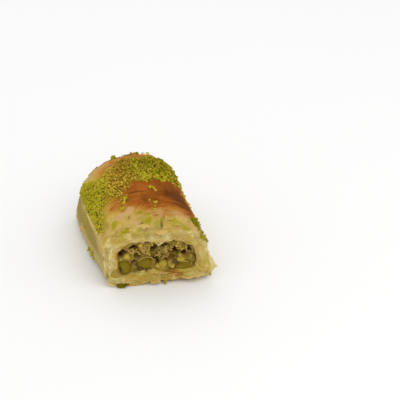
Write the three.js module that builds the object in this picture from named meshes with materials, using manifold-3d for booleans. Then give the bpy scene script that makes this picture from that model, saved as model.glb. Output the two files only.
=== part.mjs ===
// One cut piece of rolled pistachio baklava: a pillow-shaped roll of filo sheets round a core of
// chopped pistachios, cut at both ends, with ground pistachio stuck across its crown.
// Millimetres. X runs across the roll, Y from the front cut to the back cut, Z up from the base.

import * as THREE from "three";
import { mergeVertices } from "three/addons/utils/BufferGeometryUtils.js";
import Module from "manifold-3d";

// ---- Driving dimensions ----

const ROLL_LENGTH = 50; // between the two cuts, along the middle
const ROLL_WIDTH = 37.2; // at the widest, half way along
const CUT_HEIGHT = 22.3; // crown height at the cuts
const CROWN_HEIGHT = 29.5; // crown height half way along
const FRONT_WIDTH_SHARE = 0.97; // of the roll's width, at the front cut
const BACK_WIDTH_SHARE = 0.88;
const AXIS_HEIGHT = 9.5; // the level that the outline's angles are taken from
const ORIGIN_SHIFT_X = 0.9; // moves the middle of the piece's box onto the origin
const ORIGIN_SHIFT_Y = 1.7;

const FRONT_SKEW = THREE.MathUtils.degToRad(10); // turn of the front cut about the vertical
const BACK_SKEW = THREE.MathUtils.degToRad(-2);
const FRONT_LEAN = 0.09; // sideways lean of the walls at the front, per mm of height
const BACK_LEAN = -0.02;
const WALL_TAPER = 0.05 / 30; // share of the width lost per mm of height

const CROWN_SQUARENESS = 2.3; // superellipse exponents of the outline, 2 is round
const FRONT_SQUARENESS = 4.6;
const BACK_SQUARENESS = 2.5;
const BASE_SQUARENESS = 7;
const PILLOW_POWER = 3; // how long the crown stays high between the cuts
const PILLOW_ROOT = 1.2;
const FOOT_FLARE = 1.9; // how far the lower left sheets splay out towards the back
const FOOT_TOP = 6; // level where that splay begins to fade
const FOOT_FADE = 6;
const HEEL_LIFT = 1.3; // how far the base curls up at the front cut, towards the right
const HEEL_SHARE = 0.06; // share of the length over which it does
const CORNER_LIFT = 1.6; // how much higher the lower right corner of the front cut lies

const CORE_WIDTH = 26.2; // the pistachio core, as seen at the cuts
const CORE_HEIGHT = 12.4;
const CORE_LEVEL = 11.9; // middle of the core above the base
const CORE_OFFSET_FRONT = -1.2; // middle of the core sideways from the middle of the roll
const CORE_OFFSET_BACK = -0.2;
const CORE_SQUARENESS = 2.8;
// Where the core bulges out: the angle round its middle, the spread in degrees and the share added.
const CORE_BULGES = [
  { degrees: 208, spread: 11, share: 0.4 },
  { degrees: 332, spread: 18, share: 0.2 },
];
const CORE_GAP = 0.35; // between the core and the filo round it
const CORE_RECESS = 1; // how far the core's ends lie behind the cuts
const CORE_ROUGHNESS = 0.55;

const SHEET_GROUPS = 5; // ridges of pressed sheets between rim and core at a cut
const SHEET_RECESS = 0.75; // depth of the grooves between them
const SHEET_RAGGEDNESS = 0.45;
const WRINKLE_HEIGHT = 0.22; // low wrinkles that run round the roll
const WRINKLE_PITCH = 5.2;
const SHOULDER_STEP = 0.4; // where the browned top sheet ends short of the front cut
const SHOULDER_AT = 0.115; // as a share of the length
const FOLD_STEP = 0.45; // edge of the outer sheet along the left wall
const POWDER_BUILD_UP = 0.6; // thickness of the ground pistachio band
const POWDER_FADE = 0.035; // share of the length over which the band's edges thin out
// The band's two edges as shares of the length, at angles round the axis.
const POWDER_BAND = [
  { degrees: 20, from: 0.56, to: 0.82 },
  { degrees: 80, from: 0.44, to: 0.76 },
  { degrees: 100, from: 0.43, to: 0.77 },
  { degrees: 113, from: 0.27, to: 0.71 },
  { degrees: 126, from: 0.4, to: 0.63 },
  { degrees: 137, from: 0.34, to: 0.69 },
  { degrees: 143, from: 0.14, to: 0.76 },
  { degrees: 152, from: 0.12, to: 0.85 },
  { degrees: 158, from: 0.38, to: 0.91 },
  { degrees: 167, from: 0.82, to: 0.88 },
];

const FLAKE_THICKNESS = 0.5; // several sheets stuck together
const FLAKE_ROOT = 0.35; // share of a flake's reach that is sunk in the body
const FLAKE_NARROWING = 0.45;
const FLAKE_DROOP = 0.12;
const FLAKE_RAGGEDNESS = 0.5;
const FLAKE_COLUMNS = 4;
const FLAKE_ROWS = 2;

const CRUMB_COUNT = 77;
const CRUMB_SPACING = 1.5;
const STRAY_CHANCE = 0.008; // of a crumb off the band, against one on it
const CRUMB_RADIUS_MIN = 0.5;
const CRUMB_RADIUS_MAX = 1.05;
const NUT_RADIUS_MIN = 0.9; // pistachio pieces that stand out of the core's ends
const NUT_RADIUS_MAX = 2.1;
const NUTS_PER_END = 13;

const WRAP_SECTORS = 70;
const CORE_SECTORS = 40;
const SEED = 20;

// ---- Numbers that repeat the same way every time ----

function seededRandom(seed) {
  let state = seed >>> 0;
  return () => {
    state = (state + 0x6d2b79f5) >>> 0;
    let mixed = Math.imul(state ^ (state >>> 15), state | 1);
    mixed ^= mixed + Math.imul(mixed ^ (mixed >>> 7), mixed | 61);
    return ((mixed ^ (mixed >>> 14)) >>> 0) / 4294967296;
  };
}

function latticeValue(ix, iy, iz, seed) {
  let mixed = Math.imul(ix, 374761393) ^ Math.imul(iy, 668265263);
  mixed ^= Math.imul(iz, 1442695041) ^ Math.imul(seed, 1013904223);
  mixed = Math.imul(mixed ^ (mixed >>> 13), 1274126177);
  mixed = Math.imul(mixed ^ (mixed >>> 15), 2246822519);
  return ((mixed ^ (mixed >>> 16)) >>> 0) / 2147483648 - 1;
}

// Smooth noise from -1 to 1 whose bumps are about `size` mm across.
function noise(point, size, seed) {
  const scaled = point.clone().divideScalar(size);
  const cell = scaled.clone().floor();
  const [fx, fy, fz] = scaled.sub(cell).toArray().map((share) => share * share * (3 - 2 * share));
  let sum = 0;
  for (let corner = 0; corner < 8; corner += 1) {
    const [dx, dy, dz] = [corner & 1, (corner >> 1) & 1, corner >> 2];
    const weight = (dx ? fx : 1 - fx) * (dy ? fy : 1 - fy) * (dz ? fz : 1 - fz);
    sum += weight * latticeValue(cell.x + dx, cell.y + dy, cell.z + dz, seed);
  }
  return sum;
}

// ---- The roll's outline ----

const { smoothstep, lerp } = THREE.MathUtils;

// 0 at the cuts and 1 half way along, with a long full crown between.
function pillow(along) {
  return Math.pow(1 - Math.pow(Math.abs(2 * along - 1), PILLOW_POWER), 1 / PILLOW_ROOT);
}

function superellipse(angle, halfWidth, halfHeight, squareness) {
  const across = Math.abs(Math.cos(angle)) / halfWidth;
  const upward = Math.abs(Math.sin(angle)) / halfHeight;
  return Math.pow(Math.pow(across, squareness) + Math.pow(upward, squareness), -1 / squareness);
}

// A point of a cross section put at its place along the roll, with the skew of the cuts.
function placed(along, x, z) {
  const skew = lerp(Math.tan(FRONT_SKEW), Math.tan(BACK_SKEW), along);
  return new THREE.Vector3(x, ROLL_LENGTH * (along - 0.5) - skew * x, z);
}

// The smooth skin at a share of the length and an angle round the axis, 90 degrees being the crown.
function smoothSkin(along, angle) {
  const full = pillow(along);
  const endShare = lerp(FRONT_WIDTH_SHARE, BACK_WIDTH_SHARE, along);
  const halfWidth = (ROLL_WIDTH / 2) * lerp(endShare, 1, full);
  const crown = lerp(CUT_HEIGHT, CROWN_HEIGHT, full) - AXIS_HEIGHT;
  const isUpper = Math.sin(angle) > 0;
  const endSquareness = along < 0.5 ? FRONT_SQUARENESS : BACK_SQUARENESS;
  const squareness = isUpper ? lerp(endSquareness, CROWN_SQUARENESS, full) : BASE_SQUARENESS;
  const baseOverrun = 0.3;
  const radius = superellipse(angle, halfWidth, isUpper ? crown : AXIS_HEIGHT + baseOverrun, squareness);
  const across = radius * Math.cos(angle);
  const lift = HEEL_LIFT * smoothstep(across, -12, 4) + CORNER_LIFT * smoothstep(across, 10, 17);
  const heel = Math.max(1 - along / HEEL_SHARE, 0) ** 2 * lift;
  const z = Math.max(AXIS_HEIGHT + radius * Math.sin(angle), heel);
  let x = across * (1 - WALL_TAPER * z);
  x -= z * lerp(FRONT_LEAN, BACK_LEAN, along);
  if (x < 0) {
    const low = THREE.MathUtils.clamp(1 - (z - FOOT_TOP) / FOOT_FADE, 0, 1);
    const backward = THREE.MathUtils.clamp((along - 0.2) / 0.6, 0, 1);
    x -= FOOT_FLARE * low * backward * Math.min(-x / 15, 1);
  }
  return placed(along, x, z);
}

function skinNormal(along, angle) {
  const step = 1e-3;
  const ahead = smoothSkin(Math.min(along + step, 1), angle);
  const behind = smoothSkin(Math.max(along - step, 0), angle);
  const round = smoothSkin(along, angle + step).sub(smoothSkin(along, angle - step));
  const lengthwise = ahead.sub(behind);
  return lengthwise.cross(round).normalize();
}

// How thickly ground pistachio lies, 0 to 1: a band over the crown that runs down the left shoulder.
function powderCover(along, angle) {
  const degrees = THREE.MathUtils.radToDeg(angle);
  const next = POWDER_BAND.findIndex((station) => station.degrees > degrees);
  if (next < 1) {
    return 0;
  }
  const [lower, upper] = [POWDER_BAND[next - 1], POWDER_BAND[next]];
  const share = (degrees - lower.degrees) / (upper.degrees - lower.degrees);
  const from = lerp(lower.from, upper.from, share);
  const to = lerp(lower.to, upper.to, share);
  const inside = Math.min(along - from, to - along);
  const sideFade = smoothstep(degrees, 20, 45) * (1 - smoothstep(degrees, 162, 167));
  return sideFade * smoothstep(inside, -POWDER_FADE, POWDER_FADE);
}

// The height of wrinkles, sheet edges and ground pistachio over the smooth skin.
function skinRelief(along, angle, point) {
  const degrees = THREE.MathUtils.radToDeg(angle);
  const sway = 1.6 * noise(point, 14, SEED + 1);
  const wave = Math.sin((2 * Math.PI * (point.y + sway)) / WRINKLE_PITCH);
  let height = WRINKLE_HEIGHT * wave * (0.55 + 0.45 * noise(point, 9, SEED + 2));
  const shoulderLine = SHOULDER_AT + 0.025 * noise(point, 6, SEED + 3);
  const onTop = smoothstep(degrees, 25, 50) * (1 - smoothstep(degrees, 135, 155));
  height -= SHOULDER_STEP * onTop * (1 - smoothstep(along, shoulderLine - 0.015, shoulderLine + 0.015));
  const foldLine = 178 - 14 * along;
  const onLeft = 1 - smoothstep(degrees, 205, 225);
  height += FOLD_STEP * onLeft * smoothstep(degrees, foldLine - 4, foldLine + 4);
  const cover = powderCover(along, angle);
  height += cover * POWDER_BUILD_UP * (0.7 + 0.6 * noise(point, 2.4, SEED + 4));
  return height * smoothstep(point.z, 0.2, 2.5);
}

function skinPoint(along, angle) {
  const point = smoothSkin(along, angle);
  const lift = skinRelief(along, angle, point);
  const raised = point.addScaledVector(skinNormal(along, angle), lift);
  raised.z = Math.max(raised.z, 0);
  return raised;
}

// ---- The core's outline ----

// A point on the outline of the hollow that holds the core, or `inset` mm inside that outline.
function coreOutline(along, angle, inset) {
  const bulge = CORE_BULGES.reduce((product, { degrees, spread, share }) => {
    const gap = angle - THREE.MathUtils.degToRad(degrees);
    const turn = THREE.MathUtils.radToDeg(Math.atan2(Math.sin(gap), Math.cos(gap)));
    return product * (1 + share * Math.exp(-((turn / spread) ** 2)));
  }, 1);
  const radius = superellipse(angle, CORE_WIDTH / 2, CORE_HEIGHT / 2, CORE_SQUARENESS) * bulge - inset;
  const [across, upward] = [radius * Math.cos(angle), radius * Math.sin(angle)];
  return new THREE.Vector2(coreMiddleX(along) + across, CORE_LEVEL + upward);
}

function coreMiddleX(along) {
  return lerp(CORE_OFFSET_FRONT, CORE_OFFSET_BACK, along);
}

// ---- Mesh helpers ----

// Joins closed rings of points, each ring to the next and the last to the first.
function torusGeometry(rings) {
  const sectors = rings[0].length;
  const positions = rings.flat().flatMap((point) => point.toArray());
  const index = [];
  rings.forEach((ring, row) => {
    const nextRow = (row + 1) % rings.length;
    for (let column = 0; column < sectors; column += 1) {
      const nextColumn = (column + 1) % sectors;
      const [a, b] = [row * sectors + column, row * sectors + nextColumn];
      const [c, d] = [nextRow * sectors + column, nextRow * sectors + nextColumn];
      index.push(a, b, d, a, d, c);
    }
  });
  return indexedGeometry(positions, index);
}

// Joins closed rings of points and closes both ends with a fan to a middle point.
function plugGeometry(rings, firstMiddle, lastMiddle) {
  const sectors = rings[0].length;
  const positions = [...rings.flat(), firstMiddle, lastMiddle].flatMap((point) => point.toArray());
  const first = rings.length * sectors;
  const lastRow = (rings.length - 1) * sectors;
  const index = [];
  for (let column = 0; column < sectors; column += 1) {
    const nextColumn = (column + 1) % sectors;
    for (let row = 0; row < rings.length - 1; row += 1) {
      const [a, b] = [row * sectors + column, row * sectors + nextColumn];
      index.push(a, b, b + sectors, a, b + sectors, a + sectors);
    }
    index.push(first, nextColumn, column);
    index.push(first + 1, lastRow + column, lastRow + nextColumn);
  }
  return indexedGeometry(positions, index);
}

function indexedGeometry(positions, index) {
  const geometry = new THREE.BufferGeometry();
  geometry.setAttribute("position", new THREE.Float32BufferAttribute(positions, 3));
  geometry.setIndex(index);
  return geometry;
}

const wasm = await Module();
wasm.setup();

function solidFrom(geometry) {
  const bare = geometry.clone();
  bare.deleteAttribute("normal");
  bare.deleteAttribute("uv");
  const welded = mergeVertices(bare, 1e-4);
  const vertProperties = new Float32Array(welded.attributes.position.array);
  const triVerts = new Uint32Array(welded.index.array);
  return new wasm.Manifold(new wasm.Mesh({ numProp: 3, vertProperties, triVerts }));
}

// One union of everything fused to a body; scraps that touch nothing are dropped.
function fused(solids) {
  const pieces = wasm.Manifold.union(solids).decompose();
  const largest = pieces.reduce((best, piece) => (piece.volume() > best.volume() ? piece : best));
  const { vertProperties, triVerts } = largest.getMesh();
  return indexedGeometry(Array.from(vertProperties), Array.from(triVerts));
}

// ---- The filo wrap ----

// Angles that space the sectors evenly along the outline, sparser under the base.
function sectorAngles(count) {
  const steps = 720;
  const travelled = [0];
  for (let step = 0; step < steps; step += 1) {
    const angle = (2 * Math.PI * (step + 0.5)) / steps;
    const stride = smoothSkin(0.5, angle + 1e-3).distanceTo(smoothSkin(0.5, angle)) / 1e-3;
    const weight = Math.sin(angle) < -0.6 ? 0.35 : 1;
    travelled.push(travelled[step] + stride * weight);
  }
  const total = travelled[steps];
  return Array.from({ length: count }, (_, sector) => {
    const target = (total * sector) / count;
    const step = travelled.findIndex((value) => value > target) - 1;
    const within = (target - travelled[step]) / (travelled[step + 1] - travelled[step]);
    return (2 * Math.PI * (step + within)) / steps;
  });
}

// Shares of the length where the skin has a ring, closer together at the cuts and the shoulder.
function skinStations() {
  const stations = [0, 0.02, 0.06, 0.095, 0.12, 0.155];
  for (let along = 0.2; along < 0.94; along += 0.044) {
    stations.push(along);
  }
  stations.push(0.965, 1);
  return stations;
}

// Rings of a cut face from the skin in to the core: ridges of pressed sheets with ragged edges.
function cutRings(along, angles, inward) {
  const last = 2 * SHEET_GROUPS;
  const rings = [];
  for (let ring = 1; ring < last; ring += 1) {
    rings.push(angles.map((angle) => {
      const rim = skinPoint(along, angle);
      const towards = Math.atan2(rim.z - CORE_LEVEL, rim.x - coreMiddleX(along));
      const inner = coreOutline(along, towards, 0);
      const share = ring / last + 0.035 * noise(rim, 3.5, SEED + 10 + ring);
      const point = placed(along, lerp(rim.x, inner.x, share), lerp(rim.z, inner.y, share));
      const groove = ring % 2 === 1 ? SHEET_RECESS * (0.75 + 0.5 * noise(rim, 4, SEED + 30 + ring)) : 0;
      const ragged = SHEET_RAGGEDNESS * noise(rim, 2.2, SEED + 50 + ring);
      point.y += inward * (groove + ragged);
      return point;
    }));
  }
  return rings;
}

function hollowRing(along, angles, depth) {
  return angles.map((angle) => {
    const rim = smoothSkin(along, angle);
    const towards = Math.atan2(rim.z - CORE_LEVEL, rim.x - coreMiddleX(along));
    const edge = coreOutline(along, towards, 0);
    const point = placed(along, edge.x, edge.y);
    point.y += depth;
    return point;
  });
}

function wrapBody() {
  const angles = sectorAngles(WRAP_SECTORS);
  const rimDepth = 0.35;
  const rings = skinStations().map((along) => angles.map((angle) => skinPoint(along, angle)));
  rings.push(...cutRings(1, angles, -1));
  rings.push(hollowRing(1, angles, -rimDepth));
  rings.push(hollowRing(0, angles, rimDepth));
  rings.push(...cutRings(0, angles, 1).reverse());
  return outwardSolid(torusGeometry(rings));
}

// A crumb: a squashed, turned many-sided grain.
function grain(radius, centre, random) {
  const geometry = new THREE.IcosahedronGeometry(radius, 0);
  geometry.scale(0.75 + 0.5 * random(), 0.75 + 0.5 * random(), 0.7 + 0.4 * random());
  geometry.rotateX(Math.PI * random());
  geometry.rotateY(Math.PI * random());
  geometry.rotateZ(Math.PI * random());
  geometry.translate(centre.x, centre.y, centre.z);
  return geometry;
}

function crumbOnSkin(along, angle, radius, random) {
  const centre = skinPoint(along, angle).addScaledVector(skinNormal(along, angle), 0.3 * radius);
  centre.z = Math.max(centre.z, 1.3 * radius);
  return solidFrom(grain(radius, centre, random));
}

// Crumbs of ground pistachio, thick on the band and thin elsewhere, the largest placed first.
function scatteredCrumbs() {
  const random = seededRandom(SEED + 100);
  const spots = [];
  while (spots.length < CRUMB_COUNT) {
    const along = 0.03 + 0.94 * random();
    const angle = THREE.MathUtils.degToRad(10 + 175 * random());
    const spot = skinPoint(along, angle);
    const chance = STRAY_CHANCE + (1 - STRAY_CHANCE) * powderCover(along, angle);
    const isClear = spots.every((other) => other.spot.distanceTo(spot) > CRUMB_SPACING);
    if (random() < chance && isClear) {
      spots.push({ along, angle, spot });
    }
  }
  return spots.map(({ along, angle }, rank) => {
    const radius = lerp(CRUMB_RADIUS_MAX, CRUMB_RADIUS_MIN, Math.sqrt(rank / CRUMB_COUNT));
    return crumbOnSkin(along, angle, radius, random);
  });
}

// Clumps that caught low on the walls and on the rims of the cuts.
function caughtClumps() {
  const random = seededRandom(SEED + 200);
  const clumps = [
    { along: 0.42, degrees: 204, radius: 1.1 },
    { along: 0.36, degrees: 208, radius: 0.9 },
    { along: 0.04, degrees: 222, radius: 1.3 },
    { along: 0.07, degrees: 26, radius: 0.9 },
    { along: 0.02, degrees: 18, radius: 0.8 },
    { along: 0.97, degrees: 100, radius: 0.9 },
    { along: 0.95, degrees: 60, radius: 0.8 },
    { along: 0.7, degrees: 8, radius: 0.9 },
  ];
  return clumps.map(({ along, degrees, radius }) => (
    crumbOnSkin(along, THREE.MathUtils.degToRad(degrees), radius, random)
  ));
}

// A loose flake of filo: a thin curled scale with a ragged tip, whose root is sunk in the body.
function flake(root, outward, up, size, random) {
  const { width, reach, curl } = size;
  const side = new THREE.Vector3().crossVectors(outward, up);
  const lines = FLAKE_ROWS + 1;
  const lineLength = FLAKE_COLUMNS + 1;
  const middles = [];
  for (let row = 0; row < lines; row += 1) {
    const out = row / FLAKE_ROWS;
    for (let column = 0; column < lineLength; column += 1) {
      const across = (2 * column) / FLAKE_COLUMNS - 1;
      const ragged = 1 + FLAKE_RAGGEDNESS * (random() - 0.5) * out;
      const droop = FLAKE_DROOP * width * across * across * out;
      middles.push(root.clone()
        .addScaledVector(outward, (out * ragged - FLAKE_ROOT) * reach)
        .addScaledVector(side, (across * width * (1 - FLAKE_NARROWING * out * out)) / 2)
        .addScaledVector(up, curl * out * out * reach - droop));
    }
  }
  const faces = [0.5, -0.5].map((half) => middles.map((middle, place) => {
    const out = Math.floor(place / lineLength) / FLAKE_ROWS;
    return middle.clone().addScaledVector(up, half * FLAKE_THICKNESS * (1 - 0.3 * out));
  }));
  const index = [];
  for (let row = 0; row < FLAKE_ROWS; row += 1) {
    for (let column = 0; column < FLAKE_COLUMNS; column += 1) {
      const a = row * lineLength + column;
      const quad = [a, a + 1, a + 1 + lineLength, a, a + 1 + lineLength, a + lineLength];
      index.push(...quad);
      index.push(...quad.map((vertex) => vertex + middles.length).reverse());
    }
  }
  const edge = flakeEdge(lineLength);
  edge.forEach((from, place) => {
    const to = edge[(place + 1) % edge.length];
    index.push(to, from, from + middles.length, to, from + middles.length, to + middles.length);
  });
  return outwardSolid(indexedGeometry(faces.flat().flatMap((point) => point.toArray()), index));
}

// The vertices round a flake's edge, in order.
function flakeEdge(lineLength) {
  const columns = Array.from({ length: FLAKE_COLUMNS }, (_, step) => step);
  const rows = Array.from({ length: FLAKE_ROWS }, (_, step) => step);
  return [
    ...columns,
    ...rows.map((row) => row * lineLength + FLAKE_COLUMNS),
    ...columns.map((step) => FLAKE_ROWS * lineLength + FLAKE_COLUMNS - step),
    ...rows.map((row) => (FLAKE_ROWS - row) * lineLength),
  ];
}

// A closed mesh made solid, turned inside out first where its faces point in.
function outwardSolid(geometry) {
  const solid = solidFrom(geometry);
  if (solid.volume() > 0) {
    return solid;
  }
  const flipped = geometry.clone();
  flipped.setIndex(Array.from(geometry.index.array).reverse());
  return solidFrom(flipped);
}

// Flakes that stand off the skin at the cuts and on the walls. Heading 0 points at the front cut and
// 90 degrees up the right wall and over the crown; rise is how steeply a flake leaves the skin.
function looseFlakes() {
  const random = seededRandom(SEED + 300);
  const flakes = [
    { along: 0.04, degrees: 345, heading: 25, rise: 1.1, width: 8, reach: 3.6, curl: -0.15 },
    { along: 0.03, degrees: 5, heading: 0, rise: 0.5, width: 6, reach: 2.6, curl: 0.15 },
    { along: 0.03, degrees: 58, heading: 0, rise: 0.25, width: 9, reach: 2.4, curl: 0.1 },
    { along: 0.035, degrees: 98, heading: 0, rise: 0.2, width: 8, reach: 2.4, curl: -0.1 },
    { along: 0.03, degrees: 135, heading: 0, rise: 0.3, width: 7, reach: 2.4, curl: 0.1 },
    { along: 0.03, degrees: 172, heading: 0, rise: 0.3, width: 6, reach: 2.2, curl: 0.1 },
    { along: 0.62, degrees: 186, heading: 90, rise: 0.35, width: 9, reach: 2.6, curl: 0.2 },
    { along: 0.3, degrees: 30, heading: 270, rise: 0.4, width: 8, reach: 2.8, curl: 0.2 },
    { along: 0.97, degrees: 75, heading: 180, rise: 0.25, width: 9, reach: 2.4, curl: 0.1 },
    { along: 0.97, degrees: 140, heading: 180, rise: 0.3, width: 7, reach: 2.4, curl: 0.1 },
    { along: 0.97, degrees: 8, heading: 180, rise: 0.4, width: 7, reach: 2.4, curl: 0.1 },
  ];
  return flakes.map(({ along, degrees, heading, rise, ...size }) => {
    const angle = THREE.MathUtils.degToRad(degrees);
    const turn = THREE.MathUtils.degToRad(heading);
    const normal = skinNormal(along, angle);
    const roundward = smoothSkin(along, angle + 0.01).sub(smoothSkin(along, angle - 0.01)).normalize();
    const forward = new THREE.Vector3().crossVectors(normal, roundward).negate();
    forward.multiplyScalar(Math.sign(-forward.y));
    const outward = forward.multiplyScalar(Math.cos(turn))
      .addScaledVector(roundward, Math.sin(turn))
      .addScaledVector(normal, rise)
      .normalize();
    const side = new THREE.Vector3().crossVectors(outward, normal).normalize();
    const up = new THREE.Vector3().crossVectors(side, outward);
    const root = smoothSkin(along, angle).addScaledVector(normal, -FLAKE_THICKNESS / 3);
    return flake(root, outward, up, size, random);
  });
}

// ---- The pistachio core ----

function coreEndPoint(along, share, angle, inward, random) {
  const rim = coreOutline(along, angle, CORE_GAP);
  const x = lerp(coreMiddleX(along), rim.x, share);
  const z = lerp(CORE_LEVEL, rim.y, share);
  const point = placed(along, x, z);
  point.y += inward * (CORE_RECESS + CORE_ROUGHNESS * noise(point, 2.6, SEED + 70) - 0.3 * random());
  return point;
}

function coreBody() {
  const random = seededRandom(SEED + 400);
  const turn = (2 * Math.PI) / CORE_SECTORS;
  const angles = Array.from({ length: CORE_SECTORS }, (_, sector) => turn * sector);
  const shares = [0.2, 0.4, 0.6, 0.8, 1];
  const front = shares.map((share) => angles.map((angle) => coreEndPoint(0, share, angle, 1, random)));
  const back = shares.map((share) => angles.map((angle) => coreEndPoint(1, share, angle, -1, random)));
  const firstMiddle = coreEndPoint(0, 0, 0, 1, random);
  const lastMiddle = coreEndPoint(1, 0, 0, -1, random);
  return outwardSolid(plugGeometry([...front, ...back.reverse()], firstMiddle, lastMiddle));
}

// Pieces of nut that stand out of the core's ends, held inside the core's outline.
function coreNuts(along, inward, random) {
  const nuts = [];
  const placedNuts = [];
  while (nuts.length < NUTS_PER_END) {
    const rank = nuts.length / NUTS_PER_END;
    const radius = lerp(NUT_RADIUS_MAX, NUT_RADIUS_MIN, Math.sqrt(rank));
    const angle = 2 * Math.PI * random();
    const rim = coreOutline(along, angle, CORE_GAP + 1.3 * radius);
    const share = Math.sqrt(random());
    const x = lerp(coreMiddleX(along), rim.x, share);
    const z = lerp(CORE_LEVEL, rim.y, share);
    const centre = placed(along, x, z);
    centre.y += inward * (CORE_RECESS + 0.2 * radius);
    const isNear = (other) => other.centre.distanceTo(centre) < 0.75 * (other.radius + radius);
    if (!placedNuts.some(isNear)) {
      placedNuts.push({ centre, radius });
      nuts.push(solidFrom(grain(radius, centre, random)));
    }
  }
  return nuts;
}

// ---- The piece ----

function filoWrap() {
  const geometry = fused([wrapBody(), ...looseFlakes(), ...scatteredCrumbs(), ...caughtClumps()]);
  const material = new THREE.MeshStandardMaterial({ color: 0xc7a052, roughness: 0.42, metalness: 0 });
  const mesh = new THREE.Mesh(geometry, material);
  mesh.name = "filo_wrap";
  return mesh;
}

function pistachioFilling() {
  const random = seededRandom(SEED + 500);
  const geometry = fused([coreBody(), ...coreNuts(0, 1, random), ...coreNuts(1, -1, random)]);
  const material = new THREE.MeshStandardMaterial({ color: 0x77752f, roughness: 0.7, metalness: 0 });
  const mesh = new THREE.Mesh(geometry, material);
  mesh.name = "pistachio_filling";
  return mesh;
}

const baklava = new THREE.Group();
baklava.add(filoWrap(), pistachioFilling());
baklava.position.set(ORIGIN_SHIFT_X, ORIGIN_SHIFT_Y, 0);

export default baklava;
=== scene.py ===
"""Looks of a cut piece of rolled pistachio baklava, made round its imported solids.

The form is worked out in millimetres in the roll's own frame: x across, y from the front cut to the back
cut, z up. `PieceMesh.build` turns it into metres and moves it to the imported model's frame.
"""

from __future__ import annotations

import logging
import math
from dataclasses import dataclass
from enum import Enum
from typing import Callable, TypeVar

import bpy
import numpy as np
from mathutils import Matrix, Vector

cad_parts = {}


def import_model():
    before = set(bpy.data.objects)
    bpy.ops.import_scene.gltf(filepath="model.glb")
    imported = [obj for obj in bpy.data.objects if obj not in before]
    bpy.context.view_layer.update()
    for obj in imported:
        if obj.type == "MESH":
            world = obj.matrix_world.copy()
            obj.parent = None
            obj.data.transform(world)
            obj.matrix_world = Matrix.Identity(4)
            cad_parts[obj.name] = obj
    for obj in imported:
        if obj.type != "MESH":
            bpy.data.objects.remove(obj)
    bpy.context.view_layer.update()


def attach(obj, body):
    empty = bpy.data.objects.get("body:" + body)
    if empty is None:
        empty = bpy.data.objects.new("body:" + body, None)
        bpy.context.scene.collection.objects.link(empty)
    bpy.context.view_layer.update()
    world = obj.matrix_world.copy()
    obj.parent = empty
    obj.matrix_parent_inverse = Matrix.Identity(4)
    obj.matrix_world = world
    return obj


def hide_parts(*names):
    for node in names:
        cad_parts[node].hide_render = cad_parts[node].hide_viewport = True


LOG = logging.getLogger("baklava")
MM = 0.001
SEED = 41
BODY = "root"

Array = np.ndarray
Value = Array | float
Span = tuple[float, float]
Triple = tuple[float, float, float]
Colour = tuple[float, float, float]
Made = TypeVar("Made")

FORWARD = np.array([0.0, -1.0, 0.0])


# ---- Numbers ----


def held(value: Value, most: float = 1.0) -> Array:
    """A value kept between 0 and the most."""
    return np.clip(value, 0.0, most)


def smoothstep(value: Value, low: Value, high: Value) -> Array:
    """A smooth rise from 0 at low to 1 at high."""
    share = held((np.asarray(value, float) - low) / (high - low))
    return share * share * (3.0 - 2.0 * share)


def fall(value: Value, low: Value, high: Value) -> Array:
    """A smooth fall from 1 at low to 0 at high."""
    return 1.0 - smoothstep(value, low, high)


def plateau(value: Value, rise: Span, drop: Span) -> Array:
    """1 between a smooth rise and a smooth fall, and 0 outside them."""
    return smoothstep(value, *rise) * fall(value, *drop)


def lerp(start: Value, end: Value, share: Value) -> Value:
    """A value that share leads from start to end."""
    return start + (end - start) * share


def hump(value: Value, middle: Value, spread: float) -> Array:
    """A bell curve of height 1."""
    return np.exp(-(((np.asarray(value, float) - middle) / spread) ** 2))


def xyz(x: Value, y: Value, z: Value) -> Array:
    """Points from their parts, with x, y, z in the last axis."""
    return np.stack(np.broadcast_arrays(x, y, z), -1).astype(float)


def unit(vectors: Array) -> Array:
    """Vectors scaled to length 1."""
    return vectors / np.maximum(np.linalg.norm(vectors, axis=-1, keepdims=True), 1e-9)


def each(kind: Callable[..., Made], *rows: tuple) -> tuple[Made, ...]:
    """One of a kind for each row of its values."""
    return tuple(kind(*row) for row in rows)


class Noise:
    """Smooth seeded noise from -1 to 1 over points."""

    SIZE = 4096
    GAIN = 1.35

    def __init__(self, seed: int) -> None:
        """Draws the lattice's values."""
        rng = np.random.default_rng(seed)
        self.values = rng.uniform(-1.0, 1.0, self.SIZE)
        self.order = rng.permutation(self.SIZE)

    def at(self, points: Array, size: float | Triple) -> Array:
        """Noise at points.

        Args:
            points: points, with x, y, z in the last axis.
            size: how far apart the bumps are, for all axes or for each.

        Returns:
            One value for each point.
        """
        scaled = points / np.asarray(size, float)
        cell = np.floor(scaled).astype(np.int64)
        share = scaled - cell
        share = share * share * share * (share * (share * 6.0 - 15.0) + 10.0)
        total = np.zeros(points.shape[:-1])
        for corner in np.ndindex(2, 2, 2):
            weight = np.ones(points.shape[:-1])
            key = np.zeros(points.shape[:-1], np.int64)
            for axis in range(3):
                weight *= share[..., axis] if corner[axis] else 1.0 - share[..., axis]
                key = self.order[(key + cell[..., axis] + corner[axis]) % self.SIZE]
            total += weight * self.values[key]
        return total * self.GAIN

    def layered(self, points: Array, size: float | Triple, layers: int = 3) -> Array:
        """Noise with finer bumps on top of the coarse ones.

        Args:
            points: points, with x, y, z in the last axis.
            size: how far apart the coarse bumps are.
            layers: how many sizes are added, each half the last.

        Returns:
            One value for each point, from about -1 to 1.
        """
        sizes = np.asarray(size, float)
        total = sum(self.at(points, sizes / 2**layer) / 2**layer for layer in range(layers))
        return total / (2.0 - 0.5 ** (layers - 1))


# ---- The roll's form ----


def superellipse(angle: Array, half_width: Value, half_height: Value, squareness: Value) -> Array:
    """The distance from the middle to a superellipse's outline at an angle."""
    across = np.abs(np.cos(angle)) / half_width
    upward = np.abs(np.sin(angle)) / half_height
    return (across**squareness + upward**squareness) ** (-1.0 / squareness)


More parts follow.
